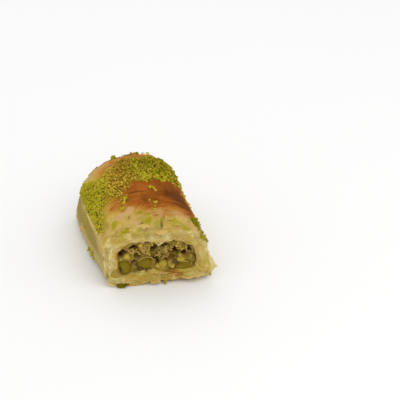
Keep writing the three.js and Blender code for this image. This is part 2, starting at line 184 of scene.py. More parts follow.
@dataclass(frozen=True)
class Bulge:
    """Where the core stands out: the angle round its middle, the spread in degrees and the share added."""

    degrees: float
    spread: float
    share: float


@dataclass(frozen=True)
class PowderEdge:
    """Where the band of ground pistachio starts and ends along the roll, at an angle round it."""

    degrees: float
    start: float
    end: float


class End(Enum):
    """The two cuts: the share of the length where each lies and the way into the roll."""

    FRONT = (0.0, 1.0)
    BACK = (1.0, -1.0)

    @property
    def at(self) -> float:
        """The share of the length where the cut lies."""
        return self.value[0]

    @property
    def inward(self) -> float:
        """1 where y grows into the roll, and -1 where it falls."""
        return self.value[1]


@dataclass(frozen=True)
class RollForm:
    """The roll's outline, as its solids have it. Lengths in millimetres, angles round the axis in degrees."""

    length: float = 50.0
    width: float = 37.2
    cut_height: float = 22.3
    crown_height: float = 29.5
    front_width_share: float = 0.97
    back_width_share: float = 0.88
    axis_height: float = 9.5
    base_spare: float = 0.3
    origin_shift: Triple = (0.9, 1.7, 0.0)
    front_skew: float = 10.0
    back_skew: float = -2.0
    front_lean: float = 0.09
    back_lean: float = -0.02
    wall_taper: float = 0.05 / 30.0
    crown_squareness: float = 2.3
    front_squareness: float = 4.6
    back_squareness: float = 2.5
    base_squareness: float = 7.0
    pillow_power: float = 3.0
    pillow_root: float = 1.2
    foot_flare: float = 1.9
    foot_top: float = 6.0
    foot_fade: float = 6.0
    foot_start: float = 0.2
    foot_run: float = 0.6
    foot_reach: float = 15.0
    heel_lift: float = 1.3
    heel_share: float = 0.06
    heel_side: Span = (-12.0, 4.0)
    corner_lift: float = 1.6
    corner_side: Span = (10.0, 17.0)
    core_width: float = 26.2
    core_height: float = 12.4
    core_level: float = 11.9
    core_offset_front: float = -1.2
    core_offset_back: float = -0.2
    core_squareness: float = 2.8
    core_bulges: tuple[Bulge, ...] = each(Bulge, (208.0, 11.0, 0.4), (332.0, 18.0, 0.2))
    powder_edges: tuple[PowderEdge, ...] = each(
        PowderEdge, (20.0, 0.56, 0.82), (80.0, 0.44, 0.76), (100.0, 0.43, 0.77), (113.0, 0.27, 0.71),
        (126.0, 0.40, 0.63), (137.0, 0.34, 0.69), (143.0, 0.14, 0.76), (152.0, 0.12, 0.85),
        (158.0, 0.38, 0.91), (167.0, 0.82, 0.88))
    powder_rise: Span = (20.0, 45.0)
    powder_drop: Span = (162.0, 167.0)
    powder_fade: float = 0.035

    def placed(self, along: Value, x: Value, z: Value) -> Array:
        """Puts a cross section's points at their place along the roll, with the skew of the cuts."""
        front, back = (math.tan(math.radians(skew)) for skew in (self.front_skew, self.back_skew))
        return xyz(x, self.length * (along - 0.5) - lerp(front, back, along) * x, z)

    def pillow(self, along: Array) -> Array:
        """0 at the cuts and 1 half way along, with a long full crown between."""
        inner = 1.0 - np.abs(2.0 * held(along) - 1.0) ** self.pillow_power
        return inner ** (1.0 / self.pillow_root)

    def skin(self, along: Value, degrees: Value) -> Array:
        """The smooth skin.

        Args:
            along: shares of the length, 0 at the front cut.
            degrees: angles round the axis, 90 at the crown and 180 at the left wall.

        Returns:
            Points, with x, y, z in the last axis.
        """
        along, angle = np.broadcast_arrays(np.asarray(along, float), np.radians(degrees))
        full = self.pillow(along)
        end_share = lerp(self.front_width_share, self.back_width_share, along)
        half_width = self.width / 2.0 * lerp(end_share, 1.0, full)
        crown = lerp(self.cut_height, self.crown_height, full) - self.axis_height
        is_upper = np.sin(angle) > 0.0
        end_squareness = np.where(along < 0.5, self.front_squareness, self.back_squareness)
        upper_squareness = lerp(end_squareness, self.crown_squareness, full)
        squareness = np.where(is_upper, upper_squareness, self.base_squareness)
        half_height = np.where(is_upper, crown, self.axis_height + self.base_spare)
        radius = superellipse(angle, half_width, half_height, squareness)
        across = radius * np.cos(angle)
        lift = self.heel_lift * smoothstep(across, *self.heel_side)
        lift += self.corner_lift * smoothstep(across, *self.corner_side)
        heel = held(1.0 - along / self.heel_share) ** 2 * lift
        z = np.maximum(self.axis_height + radius * np.sin(angle), heel)
        x = across * (1.0 - self.wall_taper * z) - z * lerp(self.front_lean, self.back_lean, along)
        low = held(1.0 - (z - self.foot_top) / self.foot_fade)
        backward = held((along - self.foot_start) / self.foot_run)
        flare = self.foot_flare * low * backward * held(-x / self.foot_reach)
        return self.placed(along, x - flare, z)

    def frame_at(self, along: Value, degrees: Value) -> tuple[Array, Array, Array]:
        """Unit vectors on the smooth skin.

        Args:
            along: shares of the length.
            degrees: angles round the axis.

        Returns:
            The way out of the skin, the way back along it, and the way round it as the angle grows.
        """
        along, degrees = np.asarray(along), np.asarray(degrees)
        step = 1e-3
        ahead = self.skin(np.minimum(along + step, 1.0), degrees)
        lengthwise = ahead - self.skin(np.maximum(along - step, 0.0), degrees)
        turn = math.degrees(step)
        roundward = self.skin(along, degrees + turn) - self.skin(along, degrees - turn)
        return unit(np.cross(lengthwise, roundward)), unit(lengthwise), unit(roundward)

    def core_middle(self, along: Value) -> Value:
        """The core's middle sideways."""
        return lerp(self.core_offset_front, self.core_offset_back, along)

    def core_edge(self, along: Value, angle: Value, inset: float = 0.0) -> tuple[Array, Array]:
        """The outline of the hollow that holds the core.

        Args:
            along: shares of the length.
            angle: angles round the core's middle, in radians.
            inset: how far inside the outline.

        Returns:
            The x and z of the points.
        """
        swollen = 1.0
        for bulge in self.core_bulges:
            gap = angle - math.radians(bulge.degrees)
            turn = np.degrees(np.arctan2(np.sin(gap), np.cos(gap)))
            swollen = swollen * (1.0 + bulge.share * hump(turn, 0.0, bulge.spread))
        half_width, half_height = self.core_width / 2.0, self.core_height / 2.0
        radius = superellipse(angle, half_width, half_height, self.core_squareness) * swollen - inset
        return self.core_middle(along) + radius * np.cos(angle), self.core_level + radius * np.sin(angle)

    def towards_core(self, end: End, rim: Array, share: Value) -> Array:
        """Points in the plane of a cut, part of the way from its rim to the core.

        Args:
            end: which cut.
            rim: points on the rim.
            share: how much of the way, 0 at the rim.

        Returns:
            The points.
        """
        towards = np.arctan2(rim[..., 2] - self.core_level, rim[..., 0] - self.core_middle(end.at))
        inner = self.placed(end.at, *self.core_edge(end.at, towards))
        return rim + (inner - rim) * np.asarray(share, float)[..., None]

    def powder_cover(self, along: Array, degrees: Array) -> Array:
        """How thickly ground pistachio lies, 0 to 1: a slanted band that runs down the left shoulder."""
        angles, starts, ends = zip(*((edge.degrees, edge.start, edge.end) for edge in self.powder_edges))
        start, end = np.interp(degrees, angles, starts), np.interp(degrees, angles, ends)
        inside = np.minimum(along - start, end - along)
        side_fade = plateau(degrees, self.powder_rise, self.powder_drop)
        return side_fade * smoothstep(inside, -self.powder_fade, self.powder_fade)


FORM = RollForm()


# ---- Meshes ----


class PieceMesh:
    """Gathers one piece's points, faces and painted fields, then makes its object."""

    def __init__(self, name: str) -> None:
        """Starts an empty piece."""
        self.name = name
        self.points: list[Array] = []
        self.faces: list[Array] = []
        self.fields: dict[str, list[Array]] = {}
        self.count = 0

    def add(self, points: Array, faces: list[Array], **fields: Value) -> None:
        """Adds points and the faces on them.

        Args:
            points: points in millimetres, with x, y, z in the last axis.
            faces: arrays of faces, each of one number of sides, counted from the first new point.
            fields: a value for each point, or one for all, by name.
        """
        flat = points.reshape(-1, 3)
        self.points.append(flat)
        self.faces.extend(face + self.count for face in faces)
        for name, value in fields.items():
            values = np.broadcast_to(np.asarray(value, float).ravel(), (len(flat),))
            self.fields.setdefault(name, []).append(values)
        self.count += len(flat)

    def build(self, material: bpy.types.Material, slot: str, replaced: str = "",
              is_smooth: bool = True) -> bpy.types.Object:
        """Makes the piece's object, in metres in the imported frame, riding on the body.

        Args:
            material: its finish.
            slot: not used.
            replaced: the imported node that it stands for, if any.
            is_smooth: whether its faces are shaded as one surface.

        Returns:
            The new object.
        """
        mesh = bpy.data.meshes.new(self.name)
        points = (np.concatenate(self.points) + np.array(FORM.origin_shift)) * MM
        loops = np.concatenate([face.ravel() for face in self.faces])
        sides = np.concatenate([np.full(len(face), face.shape[1]) for face in self.faces])
        mesh.vertices.add(len(points))
        mesh.vertices.foreach_set("co", points.astype(np.float32).ravel())
        mesh.loops.add(len(loops))
        mesh.loops.foreach_set("vertex_index", loops.astype(np.int32))
        mesh.polygons.add(len(sides))
        mesh.polygons.foreach_set("loop_start", (np.cumsum(sides) - sides).astype(np.int32))
        mesh.update(calc_edges=True)
        mesh.validate()
        for name, parts in self.fields.items():
            layer = mesh.attributes.new(name, "FLOAT", "POINT")
            layer.data.foreach_set("value", np.concatenate(parts).astype(np.float32))
        mesh.polygons.foreach_set("use_smooth", np.full(len(mesh.polygons), is_smooth))
        mesh.materials.append(material)
        piece = bpy.data.objects.new(self.name, mesh)
        bpy.context.scene.collection.objects.link(piece)
        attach(piece, BODY)
        if replaced:
            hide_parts(replaced)
        LOG.info("%s: %d triangles", self.name, int((sides - 2).sum()))
        return piece


def grid_faces(rows: int, columns: int, is_closed: bool = False) -> Array:
    """Quads over a grid of points.

    Args:
        rows: how many rows of points.
        columns: how many points in a row.
        is_closed: whether each row closes on itself.

    Returns:
        An array of quads, which face along the rows' way crossed with the columns' way.
    """
    row = np.arange(rows - 1)[:, None] * columns
    column = np.arange(columns if is_closed else columns - 1)[None, :]
    after = (column + 1) % columns
    corners = (row + column, row + columns + column, row + columns + after, row + after)
    return np.stack(corners, -1).reshape(-1, 4)


def slab(piece: PieceMesh, middles: Array, normal: Array, thickness: Value, **fields: Value) -> None:
    """Adds a thin closed sheet round a grid of points.

    Args:
        piece: the piece to add it to.
        middles: a grid of points half way through the sheet.
        normal: the way out of its face, for all or at each point.
        thickness: its thickness, for all or at each point.
        fields: values for all or at each point.
    """
    grid = middles.shape[:2]
    half = np.broadcast_to(normal, middles.shape) * (np.broadcast_to(thickness, grid)[..., None] / 2.0)
    points = np.concatenate([(middles + half).reshape(-1, 3), (middles - half).reshape(-1, 3)])
    face, ids = grid_faces(*grid), np.arange(grid[0] * grid[1]).reshape(grid)
    edge = np.concatenate([ids[0, :-1], ids[:-1, -1], ids[-1, :0:-1], ids[:0:-1, 0]])
    after = np.roll(edge, -1)
    rim = np.stack([edge, after, after + ids.size, edge + ids.size], -1)
    doubled = {name: np.tile(np.broadcast_to(value, grid).ravel(), 2) for name, value in fields.items()}
    piece.add(points, [face, face[:, ::-1] + ids.size, rim], **doubled)


def ball(cuts: int) -> tuple[Array, Array]:
    """An icosahedron's points and triangles, split so many times and rounded to a ball."""
    golden = (1.0 + math.sqrt(5.0)) / 2.0
    points = [(-1, golden, 0), (1, golden, 0), (-1, -golden, 0), (1, -golden, 0)]
    points += [(z, x, y) for x, y, z in points] + [(y, z, x) for x, y, z in points]
    points = unit(np.array(points, float))
    gaps = np.linalg.norm(points[:, None] - points[None], axis=-1)
    is_near = (gaps > 0.1) & (gaps < 1.2)
    faces = []
    for a, b, c in ((a, b, c) for a in range(12) for b in range(a) for c in range(b)):
        if is_near[a, b] and is_near[b, c] and is_near[a, c]:
            way = np.dot(np.cross(points[b] - points[a], points[c] - points[a]), points[a])
            faces.append((a, b, c) if way > 0.0 else (a, c, b))
    for _ in range(cuts):
        middles: dict[tuple[int, int], int] = {}
        grown = list(points)
        split = []
        for face in faces:
            mids = []
            for first, second in zip(face, face[1:] + face[:1]):
                key = (min(first, second), max(first, second))
                if key not in middles:
                    middles[key] = len(grown)
                    grown.append((grown[first] + grown[second]) / 2.0)
                mids.append(middles[key])
            split += [(face[0], mids[0], mids[2]), (face[1], mids[1], mids[0])]
            split += [(face[2], mids[2], mids[1]), tuple(mids)]
        points, faces = unit(np.array(grown)), split
    return points, np.array(faces)


def random_turns(rng: np.random.Generator, count: int) -> Array:
    """So many rotation matrices, evenly drawn."""
    first = unit(rng.normal(size=(count, 3)))
    second = unit(np.cross(first, rng.normal(size=(count, 3))))
    return np.stack([first, second, np.cross(first, second)], -1)


# ---- Shader maths ----


class Wire:
    """A socket of a material, on which an expression adds its nodes."""

    def __init__(self, graph: Graph, socket: bpy.types.NodeSocket) -> None:
        """Wraps a socket of a graph."""
        self.graph = graph
        self.socket = socket

    def _join(self, operation: str, first: Wire | float, second: Wire | float) -> Wire:
        """A Math node on two values."""
        return self.graph.node("ShaderNodeMath", {"operation": operation}, {0: first, 1: second})

    def __add__(self, other: Wire | float) -> Wire:
        """The sum."""
        return self._join("ADD", self, other)

    def __radd__(self, other: float) -> Wire:
        """The sum."""
        return self._join("ADD", other, self)

    def __sub__(self, other: Wire | float) -> Wire:
        """The difference."""
        return self._join("SUBTRACT", self, other)

    def __rsub__(self, other: float) -> Wire:
        """The difference, this one taken away."""
        return self._join("SUBTRACT", other, self)

    def __mul__(self, other: Wire | float) -> Wire:
        """The product."""
        return self._join("MULTIPLY", self, other)

    def __rmul__(self, other: float) -> Wire:
        """The product."""
        return self._join("MULTIPLY", other, self)

    def clamped(self) -> Wire:
        """The value, held between 0 and 1."""
        settings = {"operation": "ADD", "use_clamp": True}
        return self.graph.node("ShaderNodeMath", settings, {0: self, 1: 0.0})


class Graph:
    """One material's nodes."""

    def __init__(self, name: str) -> None:
        """Makes an empty material with an output."""
        self.material = bpy.data.materials.new(name)
        self.material.use_nodes = True
        self.tree = self.material.node_tree
        self.tree.nodes.clear()

    def node(self, kind: str, settings: dict | None = None, inputs: dict | None = None,
             output: int | str = 0) -> Wire:
        """Makes any node.

        Args:
            kind: the node's type.
            settings: its properties; `stops` gives a ramp's positions and colours.
            inputs: values or wires for its sockets, by name or number.
            output: which output to return.

        Returns:
            The output, wrapped, or the first input of a node that has none.
        """
        made = self.tree.nodes.new(kind)
        for name, value in (settings or {}).items():
            if name == "stops":
                self._set_stops(made.color_ramp, value)
            else:
                setattr(made, name, value)
        for name, value in (inputs or {}).items():
            if isinstance(value, Wire):
                self.tree.links.new(value.socket, made.inputs[name])
            else:
                made.inputs[name].default_value = value
        return Wire(self, made.outputs[output] if len(made.outputs) else made.inputs[0])

    @staticmethod
    def _set_stops(ramp: bpy.types.ColorRamp, stops: list[tuple[float, Colour]]) -> None:
        """Sets a ramp's positions and colours."""
        while len(ramp.elements) < len(stops):
            ramp.elements.new(0.5)
        for element, (position, colour) in zip(ramp.elements, stops):
            element.position = position
            element.color = (*colour, 1.0)

    def field(self, name: str) -> Wire:
        """A painted field of the mesh."""
        return self.node("ShaderNodeAttribute", {"attribute_name": name}, output="Fac")

    def noise(self, size: float, detail: float = 2.0, stretch: Triple = (1.0, 1.0, 1.0)) -> Wire:
        """Noise from 0 to 1 with bumps of a size in millimetres, drawn out along each axis by a factor."""
        place = self.node("ShaderNodeTexCoord", output="Object")
        scale = tuple(1.0 / (size * MM * pull) for pull in stretch)
        scaled = self.node("ShaderNodeMapping", {}, {"Vector": place, "Scale": scale})
        return self.node("ShaderNodeTexNoise", {}, {"Vector": scaled, "Scale": 1.0, "Detail": detail})

    def ramp(self, factor: Wire, stops: list[tuple[float, Colour]]) -> Wire:
        """Colours picked by a value."""
        return self.node("ShaderNodeValToRGB", {"stops": stops}, {"Fac": factor})

    def mix(self, factor: Wire | float, first: Wire | Colour, second: Wire | Colour,
            blend: str = "MIX") -> Wire:
        """Two colours mixed by a value."""
        colours = [value if isinstance(value, Wire) else (*value, 1.0) for value in (first, second)]
        settings = {"data_type": "RGBA", "blend_type": blend, "clamp_factor": True}
        return self.node("ShaderNodeMix", settings, {0: factor, 6: colours[0], 7: colours[1]}, output=2)

    def finish(self, varying: dict, constants: dict, bump: Wire | None = None,
               bump_height: float = 0.1) -> bpy.types.Material:
        """Ends the material with its surface.

        Args:
            varying: wires for the surface's sockets.
            constants: values that are the same all over.
            bump: a height from 0 to 1.
            bump_height: how many millimetres a height of 1 stands for.

        Returns:
            The material.
        """
        inputs = {**constants, **varying}
        if bump is not None:
            relief = {"Height": bump, "Distance": bump_height * MM, "Strength": 1.0}
            inputs["Normal"] = self.node("ShaderNodeBump", {}, relief)
        surface = self.node("ShaderNodeBsdfPrincipled", {}, inputs)
        self.node("ShaderNodeOutputMaterial", {}, {"Surface": surface})
        return self.material


# ---- Finishes ----


@dataclass(frozen=True)
class FiloFinish:
    """Baked filo soaked in syrup, from pale where it is soft to a glossy brown where it baked hardest."""

    pale: Colour = (0.74, 0.60, 0.27)
    cream: Colour = (0.62, 0.455, 0.155)
    straw: Colour = (0.52, 0.365, 0.075)
    gold: Colour = (0.46, 0.235, 0.035)
    amber: Colour = (0.32, 0.09, 0.010)
    brown: Colour = (0.115, 0.033, 0.004)
    stops: tuple[float, ...] = (0.0, 0.13, 0.28, 0.5, 0.74, 1.0)
    stains_and_painted_light: tuple[tuple[str, Colour], ...] = (
        # The palest of these stains is see-through filo and, in a few spots on the cut walls, a painted
        # highlight.
        ("blush", (0.54, 0.335, 0.15)), ("sheer", (0.82, 0.72, 0.37)), ("soak", (0.32, 0.245, 0.07)),
        # The darkest of these stains is painted shade, laid in the hollows of slits, pits and folds.
        ("glow", (0.33, 0.285, 0.006)), ("dust", (0.29, 0.225, 0.010)), ("pit", (0.14, 0.085, 0.014)))
    fine_size: float = 0.8
    streak_size: float = 1.5
    streak_pull: Triple = (3.0, 0.5, 3.0)
    fine_bake: float = 0.10
    streak_bake: float = 0.14
    roughness: float = 0.38
    fine_roughness: float = 0.22
    gloss_roughness: float = 0.10
    gloss: float = 0.05
    bump_height: float = 0.08

    def make(self) -> bpy.types.Material:
        """Builds the material."""
        graph = Graph("syruped_filo")
        fine = graph.noise(self.fine_size, 3.0)
        streak = graph.noise(self.streak_size, 3.0, self.streak_pull)
        bake = graph.field("bake") + (fine - 0.5) * self.fine_bake + (streak - 0.5) * self.streak_bake
        baked = (self.pale, self.cream, self.straw, self.gold, self.amber, self.brown)
        colour = graph.ramp(bake.clamped(), list(zip(self.stops, baked)))
        for name, stain in self.stains_and_painted_light:
            colour = graph.mix(graph.field(name), colour, stain)
        rough = self.roughness + self.fine_roughness * fine - self.gloss_roughness * graph.field("gloss")
        coat = graph.field("gloss") * self.gloss
        constants = {
            "Subsurface Weight": 0.10, "Subsurface Radius": (1.0, 0.55, 0.22), "Subsurface Scale": 0.5 * MM,
            "Coat Roughness": 0.22, "IOR": 1.42, "Specular IOR Level": 0.0}
        return graph.finish({"Base Color": colour, "Roughness": rough, "Coat Weight": coat}, constants,
                            fine * 0.5 + streak * 0.5, self.bump_height)


@dataclass(frozen=True)
class NutFinish:
    """Chopped pistachio: green flesh that syrup turns gold or olive, under a dull purple-brown skin, darkened
    with painted shade where it lies deep.
    """

    name: str
    green: Colour
    gold: Colour
    olive: Colour
    skin: Colour
    shade: Colour
    fine_size: float = 0.35
    fine_tone: float = 0.3
    roughness: float = 0.45
    fine_roughness: float = 0.25
    coat: float = 0.02
    bump_height: float = 0.06

    def make(self) -> bpy.types.Material:
        """Builds the material."""
        graph = Graph(self.name)
        fine = graph.noise(self.fine_size, 3.0)
        tone = (graph.field("tone") + (fine - 0.5) * self.fine_tone).clamped()
        colour = graph.ramp(tone, [(0.0, self.olive), (0.5, self.gold), (1.0, self.green)])
        colour = graph.mix(graph.field("skin"), colour, self.skin)
        # Painted shade: the depth field darkens the nut towards the shade colour in hollows and between
        # grains.
        shade = graph.mix(graph.field("depth"), (1.0, 1.0, 1.0), self.shade)
        colour = graph.mix(1.0, colour, shade, "MULTIPLY")
        constants = {
            "Subsurface Weight": 0.08, "Subsurface Radius": (0.7, 0.6, 0.2), "Subsurface Scale": 0.5 * MM,
            "Coat Weight": self.coat, "Coat Roughness": 0.25, "IOR": 1.42, "Specular IOR Level": 0.03}
        varying = {"Base Color": colour, "Roughness": self.roughness + self.fine_roughness * fine}
        return graph.finish(varying, constants, fine, self.bump_height)


@dataclass(frozen=True)
class FloorFinish:
    """A plain pale ground."""

    colour: Colour = (0.88, 0.88, 0.88)
    dimmer: float = 0.995
    grain_size: float = 40.0

    def make(self) -> bpy.types.Material:
        """Builds the material."""
        graph = Graph("pale_ground")
        grain = graph.noise(self.grain_size)
        colour = graph.mix(grain, self.colour, tuple(part * self.dimmer for part in self.colour))
        return graph.finish({"Base Color": colour}, {"Roughness": 0.9, "Specular IOR Level": 0.1})


# Each shade colour is painted shade: dark green between ground grains, dark red-brown in the core's hollows.
GROUND_NUT = NutFinish("ground_pistachio", green=(0.41, 0.40, 0.010), gold=(0.58, 0.375, 0.045),
                       olive=(0.20, 0.17, 0.005), skin=(0.10, 0.085, 0.006), shade=(0.34, 0.32, 0.10))
CORE_NUT = NutFinish("chopped_pistachio", green=(0.54, 0.44, 0.05), gold=(0.50, 0.34, 0.085),
                     olive=(0.21, 0.15, 0.008), skin=(0.105, 0.050, 0.018), shade=(0.20, 0.045, 0.016))


# ---- The filo skin ----


@dataclass(frozen=True)
class SkinSpot:
    """A patch on the skin: its place, half its size round and along it, and its strength."""

    along: float
    degrees: float
    half_round: float
    half_long: float
    strength: float = 1.0


@dataclass(frozen=True)
class SkinMark:
    """A slit, pit or crack: its place, half its size round and along, its turn, its depth and its stain."""

    along: float
    degrees: float
    half_round: float
    half_long: float
    turn: float
    depth: float
    stain: float


def local_gap(points: Array, spot: SkinSpot | SkinMark) -> tuple[Array, Array, Array]:
    """How far points lie from a spot on the skin: round it, along it, and off it."""
    outward, back, roundward = FORM.frame_at(np.array(spot.along), np.array(spot.degrees))
    gap = points - FORM.skin(spot.along, spot.degrees)
    return gap @ roundward, gap @ back, gap @ outward


def near_cut(along: Value, low: float, high: float) -> Array:
    """1 at both cuts, falling to 0 as the share of the length behind them grows from low to high."""
    return fall(np.minimum(along, 1.0 - along), low, high)


@dataclass
class FiloSkin:
    """The outermost filo: the browned crown, the walls, the base and the pale shoulders at the cuts."""

    sectors: int = 384
    front_rings: int = 88
    middle_rings: int = 136
    back_rings: int = 30
    shoulder: float = 0.13
    girth_radius: float = 14.0
    spot_reach: float = 3.0
    edge_lines: tuple[float, ...] = (0.0, -0.026, -0.054, -0.084)
    first_step: float = 0.20
    next_step: float = 0.07
    wrinkle: float = 0.16
    swell: float = 0.22
    rim_wear: float = 0.05
    rim_recess: float = 0.8
    rim_ragged: float = 0.26
    hem_lift: float = 1.3
    rim_turns: tuple[Span, ...] = ((0.15, 0.035), (2.2, 0.05))
    glow_spots: tuple[SkinSpot, ...] = each(
        SkinSpot, (0.062, 92.0, 1.2, 2.1), (0.040, 81.0, 1.5, 1.1, 0.55), (0.072, 131.0, 1.5, 1.3, 0.9),
        (0.050, 133.7, 0.8, 0.9, 0.65), (0.0, 127.7, 2.0, 1.4), (0.0, 133.3, 2.0, 1.0, 0.6),
        (0.010, 108.0, 0.9, 1.3, 0.55), (0.062, 74.0, 1.0, 0.9, 0.8), (0.043, 61.7, 2.0, 1.1, 0.75),
        (0.0, 46.0, 1.8, 1.4, 0.7), (0.113, 101.0, 1.8, 0.9, 0.5), (0.075, 39.3, 1.3, 1.4, 0.6),
        (0.0, 68.3, 1.5, 0.9, 0.35), (0.93, 70.0, 1.8, 1.5, 0.9), (0.95, 98.0, 2.2, 1.4, 0.9),
        (0.92, 125.0, 1.6, 1.3, 0.8), (0.96, 50.0, 1.6, 1.2, 0.8), (0.06, 30.0, 1.6, 1.6, 0.8),
        (0.11, 24.0, 1.3, 1.3, 0.7), (0.02, 148.0, 0.9, 1.4, 0.5), (0.60, 181.0, 1.3, 4.5, 0.35))
    blush_spots: tuple[SkinSpot, ...] = each(
        SkinSpot, (0.110, 121.7, 3.2, 1.5), (0.133, 112.0, 1.8, 1.6), (0.043, 110.0, 2.0, 1.3, 0.8),
        (0.045, 118.0, 1.8, 1.0, 0.8), (0.110, 80.0, 2.5, 1.0, 0.7), (0.100, 60.0, 3.0, 0.9, 0.6),
        (0.043, 50.3, 1.8, 1.0, 0.8), (0.015, 78.0, 2.6, 1.0, 0.6), (0.95, 85.0, 4.0, 1.4, 0.7),
        (0.94, 115.0, 3.0, 1.4, 0.7), (0.62, 188.0, 0.9, 1.8, 0.8), (0.86, 127.0, 5.0, 4.5, 0.75))
    marks: tuple[SkinMark, ...] = each(
        SkinMark, (0.030, 76.3, 0.40, 1.8, 0.0, 0.55, 0.15), (0.088, 113.7, 0.4, 0.6, 20.0, 0.3, 0.25),
        (0.075, 73.0, 0.3, 0.6, 0.0, 0.35, 0.2), (0.118, 99.5, 0.35, 0.3, 0.0, 0.1, 0.3),
        (0.040, 102.5, 0.9, 0.25, 30.0, 0.35, 0.1), (0.048, 101.0, 0.3, 0.6, -20.0, 0.35, 0.1),
        (0.306, 100.0, 2.6, 0.30, 4.0, 0.18, 0.34), (0.30, 90.0, 1.8, 0.2, 4.0, 0.12, 0.16),
        (0.223, 127.0, 0.9, 0.5, 0.0, 0.1, 0.22), (0.113, 46.7, 2.4, 0.8, -12.0, 0.0, 0.24),
        (0.012, 101.0, 1.8, 0.2, -3.0, 0.22, 0.15), (0.008, 84.5, 1.4, 0.2, 5.0, 0.10, 0.10),
        (0.020, 121.0, 1.2, 0.2, 10.0, 0.2, 0.22), (0.050, 67.0, 1.1, 0.18, -20.0, 0.2, 0.2),
        (0.012, 58.0, 1.2, 0.2, 8.0, 0.12, 0.1), (0.10, 90.0, 1.0, 0.16, 15.0, 0.15, 0.15),
        (0.95, 92.0, 0.25, 1.3, 10.0, 0.5, 0.5), (0.93, 78.0, 1.2, 0.2, 20.0, 0.2, 0.3))

    def stations(self) -> Array:
        """Shares of the length where the skin has a ring, closer together at the shoulders."""
        front = np.linspace(0.0, self.shoulder, self.front_rings, endpoint=False)
        middle = np.linspace(self.shoulder, 1.0 - self.shoulder, self.middle_rings, endpoint=False)
        return np.concatenate([front, middle, np.linspace(1.0 - self.shoulder, 1.0, self.back_rings)])

    def sector_degrees(self) -> Array:
        """Angles that space the sectors evenly round the outline, sparser under the base."""
        degrees = np.linspace(0.0, 360.0, 1441)
        strides = np.linalg.norm(np.diff(FORM.skin(0.5, degrees), axis=0), axis=1)
        strides *= np.where(np.sin(np.radians(degrees[:-1])) < -0.6, 0.4, 1.0)
        travelled = np.concatenate([[0.0], np.cumsum(strides)])
        return np.interp(travelled[-1] * np.arange(self.sectors) / self.sectors, travelled, degrees)

    @staticmethod
    def brown_edge(degrees: Array) -> Array:
        """The share of the length where the browned top sheet ends short of the front cut."""
        left, right = np.maximum(degrees - 70.0, 0.0), np.maximum(70.0 - degrees, 0.0)
        return 0.079 + 0.00035 * left + 0.000003 * left**2 + 0.0002 * right

    @staticmethod
    def on_top(degrees: Value) -> Array:
        """1 over the crown, falling to 0 at the walls."""
        return plateau(degrees, (22.0, 42.0), (138.0, 158.0))

    @staticmethod
    def on_rim_top(degrees: Array) -> Array:
        """1 over the top of a rim, falling to 0 at its corners."""
        return plateau(degrees, (25.0, 60.0), (120.0, 155.0))

    @staticmethod
    def on_left(degrees: Array, rise: Span) -> Array:
        """1 over the left wall, after a rise from the crown."""
        return plateau(degrees, rise, (215.0, 230.0))

    def unrolled(self, degrees: Array, y: Array) -> Array:
        """Places on the skin laid flat: x round it and y along it, in millimetres."""
        return xyz(np.radians(degrees) * self.girth_radius, y, 0.0)

    def creases(self, along: Array, degrees: Array, points: Array) -> Array:
        """Wrinkles that run over the crown, 1 on a crest."""
        noise = Noise(SEED + 3)
        fanned = 0.15 * np.maximum(90.0 - degrees, 0.0) * plateau(along, (0.10, 0.24), (0.5, 0.8))
        flat = self.unrolled(degrees, points[..., 1] + fanned) + (1.4 * noise.at(points, 9.0))[..., None]
        return 1.0 - np.abs(noise.at(flat, (9.0, 1.7, 5.0)))

    def bake(self, along: Array, degrees: Array, points: Array) -> Array:
        """How hard each place is baked, 0 to 1, with painted highlights on the crown's wrinkle crests and
        painted shade towards its right.
        """
        noise = Noise(SEED + 1)
        wander = noise.layered(points, 7.0)
        torn = noise.layered(points, (3.0, 5.0, 3.0), 4)
        crown = smoothstep(degrees + 5.0 * wander, 18.0, 44.0) * fall(degrees + 6.0 * wander, 116.0, 148.0)
        behind = along - self.brown_edge(degrees) - 0.008 * wander - 0.014 * torn
        softness = 0.009 + 0.018 * smoothstep(degrees, 100.0, 128.0)
        browned = smoothstep(behind / softness, -1.0, 1.0) * (0.47 + 0.53 * smoothstep(behind, 0.0, 0.115))
        browned *= 1.0 - 0.22 * smoothstep(degrees, 104.0, 122.0) * fall(along, 0.5, 0.7)
        browned += 0.10 * hump(behind, -0.012, 0.014) * fall(degrees, 98.0, 115.0)
        rear = 1.0 - 0.26 * smoothstep(along, 0.5, 0.72) - 0.30 * smoothstep(along, 0.84, 0.96)
        # Darker towards the right of the crown: partly a harder bake and partly painted shade.
        hot_and_shaded = 0.27 * fall(degrees, 50.0, 82.0) * hump(along, 0.27, 0.16)
        # Painted highlights: lighter on the crests of the crown's wrinkles behind the front cut.
        crest_highlights = 0.13 * self.creases(along, degrees, points) ** 3 * hump(along, 0.19, 0.12)
        crest_highlights *= 1.0 - 0.75 * smoothstep(degrees, 98.0, 118.0)
        base = smoothstep(-np.sin(np.radians(degrees)), 0.5, 0.8) * 0.30
        pale = 0.15 + 0.09 * wander + 0.06 * noise.layered(points, 2.0)
        pale += 0.10 * near_cut(along, 0.09, 0.14) * self.on_top(degrees)
        patchy = 0.04 * noise.layered(points, 4.0) * crown
        total = pale + crown * (browned * 0.66 * rear + hot_and_shaded - crest_highlights) + patchy + base
        return held(total + self.marked(points, "stain"))

    def marked(self, points: Array, measure: str) -> Array:
        """A measure of the marks, their depth or stain, where they lie, and 0 elsewhere."""
        total = np.zeros(points.shape[:-1])
        for mark in self.marks:
            around, back, off = local_gap(points, mark)
            turn = math.radians(mark.turn)
            across = around * math.cos(turn) + back * math.sin(turn)
            lengthwise = back * math.cos(turn) - around * math.sin(turn)
            gap = (across / mark.half_round) ** 2 + (lengthwise / mark.half_long) ** 2
            total += getattr(mark, measure) * np.exp(-gap - (off / self.spot_reach) ** 2)
        return total

